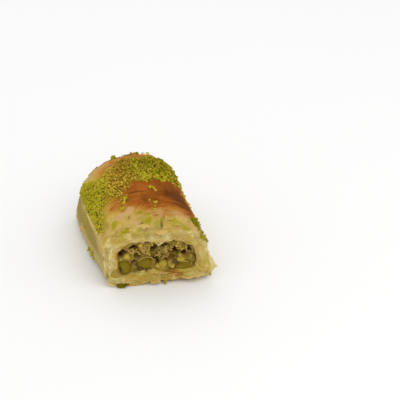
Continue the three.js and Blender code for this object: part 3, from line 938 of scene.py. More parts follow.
    def spotted(self, spots: tuple[SkinSpot, ...], points: Array, seed: int) -> Array:
        """Soft-edged patches round their named places."""
        total = np.zeros(points.shape[:-1])
        wobble = 1.0 + 0.45 * Noise(seed).layered(points, 1.3, 2)
        for spot in spots:
            around, back, off = local_gap(points, spot)
            gap = (around / spot.half_round) ** 2 + (back / spot.half_long) ** 2
            gap = np.sqrt(gap + (off / self.spot_reach) ** 2)
            total = np.maximum(total, spot.strength * fall(gap * wobble, 0.6, 1.25))
        return total

    def glow(self, along: Value, degrees: Value, points: Array) -> Array:
        """Where pieces of nut show yellow-green through the wet sheets near the cuts."""
        faint = smoothstep(Noise(SEED + 9).layered(points, 2.2, 3), 0.05, 0.75)
        faint *= near_cut(along, 0.06, 0.13) * self.on_top(degrees)
        return np.maximum(self.spotted(self.glow_spots, points, SEED + 2), 0.28 * faint)

    def blush(self, along: Array, degrees: Array, points: Array) -> Array:
        """Where the pale sheets are pinkish, with painted pinkish highlights on the crests of the crown's
        wrinkles.
        """
        patchy = smoothstep(Noise(SEED + 10).layered(points, 2.8, 3), -0.35, 0.5)
        # Painted highlights: pinkish on the crests of the crown's wrinkles near the front cut.
        crest_highlights = 0.2 * self.creases(along, degrees, points) ** 4 * self.on_top(degrees)
        crest_highlights *= hump(along, 0.14, 0.06)
        wall = 0.35 * self.on_left(degrees, (160.0, 175.0)) * patchy
        shoulder = 0.55 * near_cut(along, 0.09, 0.15) * self.on_top(degrees) * patchy
        spots = 0.85 * self.spotted(self.blush_spots, points, SEED + 8)
        return held(np.maximum.reduce([shoulder, crest_highlights, wall, spots]), 0.9)

    @staticmethod
    def strip_angle(along: Array, degrees: Array, noise: Noise, wander: float, points: Array) -> Array:
        """Angles counted so that the strip of bare filo along the left wall keeps to one of them."""
        return degrees + wander * noise.at(points, 6.0) - 9.0 * (along - 0.5)

    def soak(self, along: Array, degrees: Array, points: Array) -> Array:
        """Where syrup leaves the walls olive and see-through."""
        sides = smoothstep(np.abs(degrees - 90.0), 62.0, 80.0) * fall(-np.sin(np.radians(degrees)), 0.4, 0.7)
        noise = Noise(SEED + 6)
        patchy = 0.5 + 0.5 * noise.layered(points, (8.0, 14.0, 5.0), 2)
        at = self.strip_angle(along, degrees, noise, 2.5, points)
        strips = (hump(at, 165.0, 3.2) - 0.5 * hump(at, 180.0, 9.0)) * smoothstep(along, 0.15, 0.3)
        wall = sides * held(0.40 + 0.45 * patchy - 0.75 * strips) * smoothstep(along, 0.0, 0.06)
        shoulder = 0.40 * smoothstep(noise.layered(points, 2.6, 3), 0.0, 0.8) * fall(along, 0.08, 0.14)
        return held(np.maximum(wall, shoulder))

    @staticmethod
    def dust(along: Array, degrees: Array, points: Array) -> Array:
        """How far the syrupy bed under the ground pistachio hides the filo."""
        noise = Noise(SEED + 7)
        wander = 2.5 * noise.at(points + 5.0, 3.0)
        cover = FORM.powder_cover(along + 0.02 * noise.at(points, 3.0), degrees + wander)
        patchy = smoothstep(noise.layered(points, 2.2, 3), -0.7, 0.3)
        bed = smoothstep(cover, 0.15, 0.85) * (0.5 + 0.5 * patchy) * (1.0 - 0.8 * hump(degrees, 114.0, 12.0))
        film = FORM.powder_cover(along + 0.06, degrees + 6.0) * smoothstep(degrees, 102.0, 120.0)
        return held(np.maximum(bed, film * (0.25 + 0.45 * patchy)))

    def steps(self, along: Array, degrees: Array, points: Array) -> Array:
        """How far the skin steps down at the cuts, where one top sheet after the other ends."""
        noise = Noise(SEED + 3)
        total = np.zeros(along.shape)
        for behind in (along, 1.0 - along):
            for rank, line in enumerate(self.edge_lines):
                key = points + np.array([0.0, 0.0, 17.0 * rank])
                at = self.brown_edge(degrees) + line + 0.016 * noise.layered(key, (4.5, 40.0, 4.5), 4)
                step = self.next_step if rank else self.first_step
                total += step * self.on_top(degrees) * fall(behind, at - 0.006, at + 0.006)
        return total

    def height(self, along: Array, degrees: Array, points: Array) -> Array:
        """How far wrinkles, sheet edges and swellings stand off the smooth skin, in millimetres."""
        noise, other = Noise(SEED + 3), Noise(SEED + 4)
        patchy = 0.35 + 0.65 * smoothstep(other.at(points, 8.0), -0.3, 0.6)
        total = self.swell * noise.layered(points, 8.0, 2) - self.steps(along, degrees, points)
        total += self.wrinkle * patchy * (self.creases(along, degrees, points) ** 3 - 0.45)
        crumpled = 1.0 - np.abs(other.layered(points + 3.0, (3.2, 2.4, 3.2), 2))
        crumple = 0.22 * noise.layered(points, 2.6, 3) + 0.30 * (crumpled**5 - 0.2)
        total += self.on_top(degrees) * near_cut(along, 0.09, 0.13) * crumple
        total -= self.marked(points, "depth")
        fold = 176.0 - 20.0 * along + 1.5 * noise.at(points, 6.0)
        total += 0.32 * fall(degrees, 205.0, 225.0) * smoothstep(degrees, fold - 4.0, fold + 4.0)
        at = self.strip_angle(along, degrees, noise, 1.5, points)
        total += (0.38 * hump(at, 165.0, 2.8) - 0.22 * hump(at, 172.5, 5.0)) * smoothstep(along, 0.15, 0.3)
        flat = self.unrolled(degrees, points[..., 1])
        lengthwise = 1.0 - np.abs(other.at(flat, (1.6, 11.0, 5.0)))
        on_walls = smoothstep(np.abs(degrees - 90.0), 60.0, 74.0)
        total += on_walls * (0.32 * (lengthwise**5 - 0.3) + 0.16 * noise.layered(flat, (1.2, 5.0, 5.0), 3))
        bed = 0.32 + 0.30 * noise.at(points, 1.6) + 0.14 * other.at(points, 0.8)
        total += FORM.powder_cover(along, degrees) * bed
        return total * smoothstep(points[..., 2], 0.1, 1.8)

    def surface(self, along: Array, degrees: Array) -> Array:
        """Points of the skin with its relief and its worn rims."""
        points = FORM.skin(along, degrees)
        raised = points + FORM.frame_at(along, degrees)[0] * self.height(along, degrees, points)[..., None]
        noise = Noise(SEED + 5)
        recess = self.rim_recess * self.on_rim_top(degrees)
        recess = recess + self.rim_ragged * noise.layered(points, (1.6, 60.0, 1.6), 3)
        front, back = (held(1.0 - behind / self.rim_wear) ** 2 for behind in (along, 1.0 - along))
        raised[..., 1] += recess * (front - back)
        hem = self.hem_lift * np.maximum(noise.layered(points, (3.4, 60.0, 60.0), 3), 0.0)
        hem = hem * fall(points[..., 2], 1.5, 4.0) * (front + back)
        raised[..., 2] = np.maximum(raised[..., 2], 0.0) + hem
        return raised

    def build(self, material: bpy.types.Material) -> bpy.types.Object:
        """Makes the skin, whose rims turn in at both cuts.

        Args:
            material: the filo's finish.

        Returns:
            The skin's object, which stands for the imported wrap.
        """
        along, degrees = np.broadcast_arrays(self.stations()[:, None], self.sector_degrees()[None, :])
        points, smooth = self.surface(along, degrees), FORM.skin(along, degrees)
        bake = self.bake(along, degrees, smooth)
        unmarked = 1.0 - held(2.2 * self.marked(smooth, "stain"))
        painted = {
            "bake": bake,
            "blush": self.blush(along, degrees, smooth) * unmarked,
            "sheer": 0.42 * self.on_left(degrees, (162.0, 175.0)),
            "glow": self.glow(along, degrees, smooth) * unmarked,
            "soak": self.soak(along, degrees, smooth) * unmarked,
            "dust": self.dust(along, degrees, smooth),
            # Painted shade: darker by the depth of each mark.
            "pit": held(1.7 * self.marked(smooth, "depth"), 0.9),
            "gloss": smoothstep(bake, 0.3, 0.7),
        }
        turned_in = {}
        for end, rim in zip(End, (points[0], points[-1])):
            rows = [FORM.towards_core(end, rim, share) + np.array([0.0, end.inward * depth, 0.0])
                    for depth, share in self.rim_turns]
            turned_in[end] = np.stack(rows)
        whole = np.concatenate([turned_in[End.FRONT][::-1], points, turned_in[End.BACK]])
        padded = {name: np.pad(value, ((2, 2), (0, 0)), "edge") for name, value in painted.items()}
        piece = PieceMesh("filo_skin")
        piece.add(whole, [grid_faces(*whole.shape[:2], is_closed=True)], **padded)
        return piece.build(material, "filo", "filo_wrap")


# ---- The cut walls ----


@dataclass(frozen=True)
class WallSpot:
    """A patch of a painted field on a cut: its place, half its size across and up, and its strength."""

    x: float
    z: float
    half_width: float
    half_height: float
    strength: float


@dataclass(frozen=True)
class Fold:
    """A round fold of sheets that stands out of a cut: its place, its radius and how far it stands out."""

    x: float
    z: float
    radius: float
    proud: float


@dataclass
class CutFace:
    """The wall of a cut: filo sheets that syrup has stuck together into soft, wavy groups."""

    skin: FiloSkin
    end: End
    rings: int = 92
    sectors: int = 560
    groups: float = 4.5
    group_depth: float = 0.48
    groove: float = 0.22
    sheets: float = 17.0
    bulge: float = 0.30
    core_turn: float = 0.55
    most_proud: float = 0.35
    lip_depths: tuple[float, ...] = (0.8, 2.6)
    rim_blend: float = 0.14
    folds: tuple[Fold, ...] = each(
        Fold, (10.3, 2.9, 2.9, 1.1), (-3.7, 3.7, 1.9, 0.7), (-17.2, 9.7, 1.5, 0.6), (-10.9, 3.0, 2.4, 0.5),
        (2.3, 3.0, 1.5, 0.3), (15.2, 7.0, 1.5, 0.4), (10.1, 18.6, 1.8, 0.3))
    spots: tuple[tuple[str, tuple[WallSpot, ...]], ...] = (
        # The negative spot at (-15.5, 4.5) is painted light, paling the low left of the wall against its
        # shade.
        ("bake", each(
            WallSpot, (3.2, 5.0, 3.0, 1.4, 0.50), (5.6, 3.6, 1.8, 0.7, 0.34), (-0.4, 5.4, 2.6, 0.5, 0.18),
            (13.4, 10.0, 2.4, 6.0, 0.05), (-15.5, 4.5, 4.0, 4.0, -0.19), (-13.5, 15.0, 3.0, 3.5, -0.08),
            (7.6, 2.2, 0.35, 1.9, 0.18), (-6.6, 3.6, 0.5, 1.5, 0.20), (-14.3, 12.0, 0.6, 2.6, 0.62))),
        # These spots paint shade along the orange fold low on the wall.
        ("pit", each(WallSpot, (2.8, 5.5, 2.4, 0.7, 0.50), (6.2, 3.6, 1.2, 0.35, 0.35))),
        ("glow", each(
            WallSpot, (13.4, 10.0, 2.4, 6.0, 0.26), (-12.2, 20.3, 1.6, 1.1, 0.5), (10.1, 16.5, 1.3, 1.1, 0.6),
            (-15.6, 6.2, 1.0, 1.6, 0.5))),
        ("soak", each(WallSpot, (-15.0, 5.0, 3.5, 3.5, -0.25), (13.6, 10.0, 2.6, 6.0, -0.20))),
        ("blush", each(
            WallSpot, (13.6, 10.0, 2.6, 6.0, -0.30), (3.0, 5.3, 3.0, 1.1, -0.6), (-3.7, 3.9, 1.6, 1.2, 0.9),
            (-10.9, 2.9, 2.8, 1.2, 0.6), (2.3, 18.7, 3.4, 0.9, 0.9), (-18.2, 13.4, 0.5, 2.8, 0.7),
            (-17.3, 4.8, 1.2, 3.4, 0.3), (-16.6, 4.2, 2.2, 2.4, 0.50))),
        # Of these spots, the tall strip at (-16.9, 15.7), the bulge at (-17.1, 10.1) and the fold at (10.3,
        # 2.9) are painted highlights, and the one at (-16.6, 4.6) is painted light on the low left of the
        # wall against its shade.
        ("sheer", each(
            WallSpot, (13.6, 10.0, 2.6, 6.0, 0.14), (-1.0, 19.5, 4.5, 1.0, 0.45), (3.0, 5.3, 3.0, 1.1, -0.5),
            (-16.9, 15.7, 0.8, 4.5, 0.80), (-17.1, 10.1, 1.9, 1.3, 0.85), (10.3, 2.9, 1.6, 1.5, 0.50),
            (-2.4, 0.7, 1.1, 0.6, 0.40), (-16.6, 4.6, 2.6, 3.0, 0.75))))

    def relief(self, share: Array, degrees: Array, points: Array) -> tuple[Array, Array]:
        """How deep the wall lies behind the cut, and how far into a groove each place is.

        Args:
            share: how much of the way from the rim to the core.
            degrees: angles round the roll.
            points: places on the plane of the cut.

        Returns:
            The depth in millimetres and the groove from 0 to 1.
        """
        noise, other = Noise(SEED + 20), Noise(SEED + 21)
        flat = xyz(points[..., 0], 40.0 * self.end.inward, points[..., 2])
        phase = share * self.groups + 1.3 * noise.at(flat, 6.0) + 0.55 * other.at(flat, 2.2)
        group = np.floor(phase)
        within = phase - group
        levels = [other.layered(flat + (11.0 * (group + step))[..., None], 3.4, 2) for step in (0.0, 1.0)]
        depth = self.group_depth * lerp(*levels, smoothstep(within, 0.70, 1.0))
        top = self.skin.on_rim_top(degrees)
        patchy = 0.15 + 0.85 * smoothstep(other.at(flat, 3.0), -0.2, 0.6)
        groove = hump(within, 0.88, 0.10) * patchy * (1.0 - 0.5 * top)
        depth += self.groove * groove
        lines = np.cos(2.0 * math.pi * (share * self.sheets + 1.3 * noise.at(flat, 2.4)))
        depth += 0.05 * lines * smoothstep(noise.at(flat, 3.6), 0.0, 0.6)
        depth += 0.42 * noise.layered(flat, 5.0, 3) + 0.05 * other.at(flat, 0.6)
        for fold in self.folds:
            gap = np.hypot(flat[..., 0] * self.end.inward - fold.x, flat[..., 2] - fold.z) / fold.radius
            crease = 0.30 * hump(gap, 1.12, 0.16) + 0.10 * hump(gap, 0.8, 0.10)
            depth -= fold.proud * (fall(gap, 0.25, 1.1) - crease)
        depth += self.skin.rim_recess * top * held(1.0 - share / 0.6) ** 1.6
        depth += self.core_turn * smoothstep(share, 0.93, 1.0) - self.bulge * np.sin(math.pi * held(share))
        return np.maximum(depth, -self.most_proud), groove

    def tint(self, share: Array, degrees: Array, points: Array, groove: Array) -> dict[str, Array]:
        """The painted fields of the wall.

        Args:
            share: how much of the way from the rim to the core.
            degrees: angles round the roll.
            points: places on the plane of the cut.
            groove: how far into a groove each place is.

        Returns:
            A value for each place, by the field's name.
        """
        noise = Noise(SEED + 22)
        x, z = points[..., 0] * self.end.inward, points[..., 2]
        lines = 0.5 + 0.5 * np.cos(2.0 * math.pi * (share * 9.0 + 2.2 * noise.at(points, 2.8)))
        under = hump(z, 4.7, 1.7) * fall(np.abs(x + 0.5), 11.0, 15.0)
        near_core = smoothstep(share, 0.72, 1.0) * (0.6 + 0.5 * noise.at(points, 1.5))
        fields = {
            # Painted shade: the grooves between groups of sheets take more bake, so they come out darker.
            "bake": 0.15 + 0.24 * noise.layered(points, 2.4, 4) + 0.05 * lines + 0.26 * groove + 0.12 * under,
            "blush": 0.10 + 0.60 * noise.layered(points + 3.0, 2.6, 4),
            "sheer": 0.50 * smoothstep(noise.layered(points + 6.0, 2.2, 3), 0.1, 0.7),
            "soak": 0.12 + 0.50 * noise.layered(points, 2.0, 3) + 0.24 * near_core + 0.14 * under,
            "glow": 0.08 + 0.42 * smoothstep(noise.layered(points + 9.0, 2.8, 2), 0.05, 0.75) + 0.26 * under,
            "pit": np.zeros(share.shape),
        }
        wobble = 1.0 + 0.35 * noise.layered(points + 12.0, 1.6, 2)
        for name, spots in self.spots:
            for spot in spots:
                gap = np.hypot((x - spot.x) / spot.half_width, (z - spot.z) / spot.half_height) * wobble
                patch = spot.strength * hump(gap, 0.0, 1.0)
                fields[name] += patch
                if name == "bake":
                    fields["soak"] -= patch
                    fields["glow"] -= patch
        at_rim = fall(share, 0.0, self.rim_blend)
        along = np.full(share.shape, self.end.at)
        for name in ("bake", "blush", "glow", "soak"):
            fields[name] = lerp(fields[name], getattr(self.skin, name)(along, degrees, points), at_rim)
        painted = {name: held(value, 0.9) for name, value in fields.items()}
        return painted | {"dust": np.zeros(share.shape), "gloss": np.full(share.shape, 0.6)}

    def place(self, share: Array, degrees: Array) -> tuple[Array, Array, Array]:
        """Points of the wall, the same points on the plane of the cut, and the grooves."""
        end = self.end
        rim = self.skin.surface(np.full(np.shape(degrees), end.at), degrees)
        edge = FORM.towards_core(end, rim, 1.0) + np.array([0.0, 60.0 * end.inward, 0.0])
        overhang = 0.05 + 0.15 * Noise(SEED + 23).layered(edge, 2.2, 4)
        flat = FORM.towards_core(end, rim, share * (1.0 + overhang * smoothstep(share, 0.4, 1.0)))
        flat = FORM.placed(end.at, flat[..., 0], flat[..., 2])
        depth, groove = self.relief(share, degrees, flat)
        rim_depth = (rim[..., 1] - FORM.placed(end.at, rim[..., 0], rim[..., 2])[..., 1]) * end.inward
        depth = lerp(rim_depth - 0.02, depth, smoothstep(share, 0.0, 0.16))
        points = flat.copy()
        points[..., 1] += end.inward * depth
        return points, flat, groove

    def build(self, material: bpy.types.Material) -> bpy.types.Object:
        """Makes the wall, which turns in round the core.

        Args:
            material: the filo's finish.

        Returns:
            The object.
        """
        degrees = np.linspace(0.0, 360.0, self.sectors, endpoint=False)
        share, degrees = np.broadcast_arrays(np.linspace(0.0, 1.0, self.rings)[:, None], degrees[None, :])
        points, flat, groove = self.place(share, degrees)
        painted = self.tint(share, degrees, flat, groove)
        lip = [points[-1] + np.array([0.0, self.end.inward * deeper, 0.0]) for deeper in self.lip_depths]
        points = np.concatenate([points, lip])
        padded = {name: np.pad(value, ((0, 2), (0, 0)), "edge") for name, value in painted.items()}
        padded["soak"][-2:] = 0.9
        padded["bake"][-2:] = 0.6
        faces = grid_faces(*points.shape[:2], is_closed=True)
        piece = PieceMesh(f"cut_wall_{self.end.name.lower()}")
        piece.add(points, [faces if self.end is End.BACK else faces[:, ::-1]], **padded)
        return piece.build(material, "filo")


@dataclass(frozen=True)
class ArcSpot:
    """One sheet's edge that stands out of a cut: the arc it spans in degrees, its share of the way to the
    core, how proud it is, how far it leans and how hard it is baked."""

    start: float
    span: float
    share: float
    proud: float
    splay: float
    bake: float


@dataclass
class SheetEdges:
    """Single sheets that stand out of the walls of both cuts, each along a part of the way round."""

    walls: dict[End, CutFace]
    named: tuple[ArcSpot, ...] = each(
        ArcSpot, (70.0, 40.0, 0.50, 0.7, -0.7, 0.10), (98.0, 30.0, 0.80, 0.5, 0.2, 0.05),
        (40.0, 36.0, 0.72, 0.6, 0.3, 0.12), (-6.0, 44.0, 0.45, 0.8, -0.5, 0.20),
        (-18.0, 40.0, 0.70, 0.6, 0.3, 0.14), (306.0, 34.0, 0.30, 0.9, -0.8, 0.24),
        (296.0, 40.0, 0.62, 0.8, 0.5, 0.22), (262.0, 40.0, 0.82, 0.7, -0.3, 0.34),
        (232.0, 44.0, 0.55, 0.8, 0.5, 0.16), (246.0, 36.0, 0.22, 0.9, -0.6, 0.30),
        (196.0, 30.0, 0.40, 0.6, -0.4, 0.10), (150.0, 40.0, 0.35, 0.7, -0.5, 0.04),
        (160.0, 34.0, 0.92, 0.4, 0.3, 0.50), (140.0, 26.0, 0.66, 0.5, 0.2, 0.06))
    drawn_per_end: int = 16
    reach: float = 0.6
    thickness: float = 0.14
    root: float = 1.4
    rows: int = 9
    columns_per_degree: float = 1.6
    least_height: float = 0.12

    def build(self, material: bpy.types.Material) -> bpy.types.Object:
        """Makes the sheets.

        Args:
            material: the filo's finish.

        Returns:
            The object.
        """
        piece = PieceMesh("sheet_edges")
        rng = np.random.default_rng(SEED + 25)
        for end in End:
            drawn = [ArcSpot(rng.uniform(0.0, 360.0), rng.uniform(7.0, 26.0), rng.uniform(0.08, 0.97),
                             rng.uniform(0.15, 0.6), rng.normal(0.0, 0.35), rng.uniform(0.0, 0.3))
                     for _ in range(self.drawn_per_end)]
            for spot in (*self.named, *drawn):
                self.add_arc(piece, self.walls[end], spot, rng)
        return piece.build(material, "filo")

    def add_arc(self, piece: PieceMesh, wall: CutFace, spot: ArcSpot, rng: np.random.Generator) -> None:
        """Adds one sheet.

        Args:
            piece: the piece to add it to.
            wall: the wall of the cut that it stands out of.
            spot: where it is.
            rng: the source of its raggedness.
        """
        across = np.linspace(0.0, 1.0, max(int(spot.span * self.columns_per_degree), 12))
        out = np.linspace(0.0, 1.0, self.rows)[:, None]
        degrees = spot.start + spot.span * across
        key = xyz(degrees * 0.3, rng.uniform(0.0, 90.0), 0.0)
        noise = Noise(SEED + 26)
        share = np.clip(spot.share + 0.07 * noise.at(key, 3.5) + 0.02 * noise.at(key, 1.0), 0.03, 0.98)
        face, flat, _ = wall.place(share, degrees)
        way = unit(FORM.towards_core(wall.end, flat, 0.5) - flat)
        fade = np.sqrt(held(np.sin(math.pi * across)))
        proud = self.reach * spot.proud * (1.0 + 0.45 * noise.at(key, 1.8)) + 0.10 * noise.at(key, 0.5)
        proud *= fade
        splay = (spot.splay + 0.25 * noise.at(key, 1.3)) * fade * out**3
        middles = face + splay[..., None] * way
        middles[..., 1] -= wall.end.inward * ((self.root + proud) * out - self.root)
        middles[..., 2] = np.maximum(middles[..., 2], self.least_height)
        bake = held(spot.bake + 0.22 * (1.0 - out) + 0.06 * noise.at(key, 1.2))
        slab(piece, middles, way, self.thickness * (1.0 - 0.35 * out), bake=bake, blush=0.15, sheer=0.1,
             glow=0.0, soak=0.25 * (1.0 - out), dust=0.0, gloss=0.6)


# ---- Loose flakes ----


@dataclass(frozen=True)
class FlakeSpot:
    """Where a loose flake grows and its size. A heading of 0 points at the front cut and 90 round the roll,
    and rise is how steeply it leaves the skin."""

    along: float
    degrees: float
    heading: float
    rise: float
    width: float
    reach: float
    curl: float
    sheer: float = 0.0


@dataclass(frozen=True)
class RimFlake:
    """A sheet that juts past the rim of the front cut: its root and its tip as paths on the cut."""

    root: tuple[Span, ...]
    tip: tuple[Span, ...]
    forward: float
    sheer: float


@dataclass
class LooseFlakes:
    """Thin scales of filo that stand off the rims of the cuts and the walls."""

    skin: FiloSkin
    rim_flakes: tuple[RimFlake, ...] = each(
        RimFlake,
        (((14.6, 11.5), (15.2, 8.5), (15.4, 6.0), (14.8, 4.0), (13.8, 2.6)),
         ((16.4, 12.4), (17.9, 9.2), (19.4, 5.8), (17.0, 3.9), (14.9, 2.2)), 0.1, 0.55),
        (((-3.0, 2.6), (-1.6, 2.4), (0.2, 2.4)), ((-3.6, 0.6), (-1.8, 0.4), (0.0, 0.9)), 0.3, 0.15),
        (((11.6, 19.2), (13.4, 17.4), (14.8, 14.6)), ((12.4, 20.6), (14.5, 18.2), (15.7, 14.8)), 0.2, 0.2),
        (((-3.4, 19.2), (-1.6, 19.4), (0.0, 19.4), (1.6, 19.2), (3.2, 19.0)),
         ((-2.2, 18.2), (-1.4, 17.3), (-0.5, 16.6), (0.7, 17.1), (2.6, 18.1)), 0.0, 0.1))
    spots: tuple[FlakeSpot, ...] = each(
        FlakeSpot, (0.04, 345.0, 25.0, 0.9, 7.0, 3.0, -0.15, 0.6), (0.03, 58.0, 0.0, 0.15, 8.0, 1.5, 0.0),
        (0.035, 98.0, 0.0, 0.15, 7.0, 1.7, -0.1), (0.03, 135.0, 0.0, 0.2, 6.0, 1.6, 0.1),
        (0.03, 172.0, 0.0, 0.1, 6.0, 2.2, 0.0), (0.62, 186.0, 90.0, 0.35, 9.0, 2.6, 0.2),
        (0.97, 75.0, 180.0, 0.25, 9.0, 2.4, 0.1), (0.905, 63.0, 180.0, 1.4, 3.6, 1.9, 0.0, 0.9),
        (0.97, 140.0, 180.0, 0.05, 5.0, 1.8, -0.05), (0.97, 8.0, 180.0, 0.4, 7.0, 2.4, 0.1))
    thickness: float = 0.09
    root: float = 0.35
    rim_root: float = 0.45
    least_height: float = 0.15
    top_count: int = 7
    wall_count: int = 34
    front_share: float = 0.6
    flake_grid: tuple[int, int] = (12, 22)
    rim_grid: tuple[int, int] = (14, 30)

    def build(self, material: bpy.types.Material) -> bpy.types.Object:
        """Makes the flakes.

        Args:
            material: the filo's finish.

        Returns:
            The object.
        """
        piece = PieceMesh("filo_flakes")
        rng = np.random.default_rng(SEED + 30)
        for spot in (*self.spots, *self.small_spots(rng)):
            self.add_flake(piece, spot, rng)
        for flake in self.rim_flakes:
            self.add_rim_flake(piece, flake)
        return piece.build(material, "filo")

    def add_rim_flake(self, piece: PieceMesh, flake: RimFlake) -> None:
        """Adds a sheet that juts past the rim of the front cut."""
        rows, columns = self.rim_grid
        out, across = np.linspace(0.0, 1.0, rows)[:, None], np.linspace(0.0, 1.0, columns)
        root, tip = (
            np.stack([np.interp(across, np.linspace(0.0, 1.0, len(path)), part) for part in zip(*path)], -1)
            for path in (flake.root, flake.tip))
        noise = Noise(SEED + 31)
        key = xyz(tip[..., 0], 30.0, tip[..., 1])
        reach = out * (1.0 + 0.22 * noise.layered(key, 1.4, 3))
        place = lerp(root, tip, reach[..., None])
        middles = FORM.placed(0.0, place[..., 0], np.maximum(place[..., 1], 0.1))
        wave = 0.3 * out * noise.layered(key + 9.0 * out[..., None], 2.0, 2)
        middles[..., 1] += lerp(self.rim_root, -flake.forward, out) + wave
        slab(piece, middles, FORWARD, self.thickness * (1.3 - 0.7 * out), bake=0.06, blush=0.0,
             sheer=flake.sheer * smoothstep(out, 0.2, 0.7), glow=0.1, soak=0.1, dust=0.0, gloss=0.4)

    def small_spots(self, rng: np.random.Generator) -> list[FlakeSpot]:
        """Small scales along the rims of both cuts."""
        spots = []
        for rank in range(self.top_count + self.wall_count):
            is_front = rng.random() < self.front_share
            along = rng.uniform(0.012, 0.09) if is_front else rng.uniform(0.93, 0.985)
            degrees = rng.uniform(20.0, 160.0) if rank < self.top_count else rng.uniform(150.0, 390.0)
            heading = (0.0 if is_front else 180.0) + rng.normal(0.0, 18.0)
            spots.append(FlakeSpot(along, degrees, heading, rng.uniform(0.02, 0.16), rng.uniform(1.6, 5.0),
                                   rng.uniform(0.9, 2.4), rng.uniform(-0.12, 0.06)))
        return spots

    def add_flake(self, piece: PieceMesh, spot: FlakeSpot, rng: np.random.Generator) -> None:
        """Adds one flake.

        Args:
            piece: the piece to add it to.
            spot: where it grows and how large it is.
            rng: the source of its raggedness.
        """
        normal, back, roundward = FORM.frame_at(spot.along, spot.degrees)
        turn = math.radians(spot.heading)
        outward = unit(-back * math.cos(turn) + roundward * math.sin(turn) + normal * spot.rise)
        side = unit(np.cross(outward, normal))
        up = np.cross(side, outward)
        rows, columns = self.flake_grid
        out, across = np.linspace(0.0, 1.0, rows)[:, None], np.linspace(-1.0, 1.0, columns)
        noise = Noise(int(rng.integers(1000)))
        tip = noise.layered(xyz(across * 2.2, 0.0, 0.0), 1.0, 3)
        ragged = 1.0 - 0.35 * np.abs(across) ** 2.5 + 0.30 * tip
        flank = noise.layered(xyz(np.sign(across) * 3.0, out * 2.6, 1.0), 1.0, 3)
        half_width = spot.width / 2.0 * (1.0 - 0.40 * out**2 + 0.25 * flank * out)
        lift = spot.curl * out**2 * spot.reach - 0.10 * spot.width * across**2 * out
        lift += 0.16 * out * noise.layered(xyz(across * 1.8, out * 1.5, 5.0), 1.0, 2)
        root = FORM.skin(spot.along, spot.degrees) - normal * 0.1
        middles = (root + ((out * ragged - self.root) * spot.reach)[..., None] * outward
                   + (across * half_width)[..., None] * side + lift[..., None] * up)
        middles[..., 2] = np.maximum(middles[..., 2], self.least_height)
        bake = rng.uniform(0.10, 0.26) * (1.0 - spot.sheer) + 0.04 * out
        glow = 0.8 * self.skin.glow(spot.along, spot.degrees, middles)
        edge = np.maximum(np.abs(across), out) ** 4
        blush, soak = rng.uniform(0.0, 0.4), rng.uniform(0.0, 0.25) * (1.0 - spot.sheer)
        slab(piece, middles, up, self.thickness * (1.0 - 0.6 * edge), bake=bake, blush=blush,
             sheer=spot.sheer, glow=glow, soak=soak, dust=0.0, gloss=0.4)


# ---- The ground pistachio ----


@dataclass(frozen=True)
class GrainClump:
    """Grains that caught away from the band: their middle, how many, their spread, height, tone and shade."""

    along: float
    degrees: float
    count: int
    spread: float
    lift: float = 0.3
    tone: float = 0.86
    shade: float = 0.1


@dataclass(frozen=True)
class CutClump:
    """Grains that stick to the front cut: their middle, how many, their spread, tone and shade."""

    x: float
    z: float
    count: int
    spread_x: float
    spread_z: float
    tone: float = 0.86
    shade: float = 0.3


@dataclass(frozen=True)
class Grade:
    """Grains of one fineness: how many, their smallest and largest radius, and how finely each is split."""

    name: str
    count: int
    sizes: Span
    cuts: int


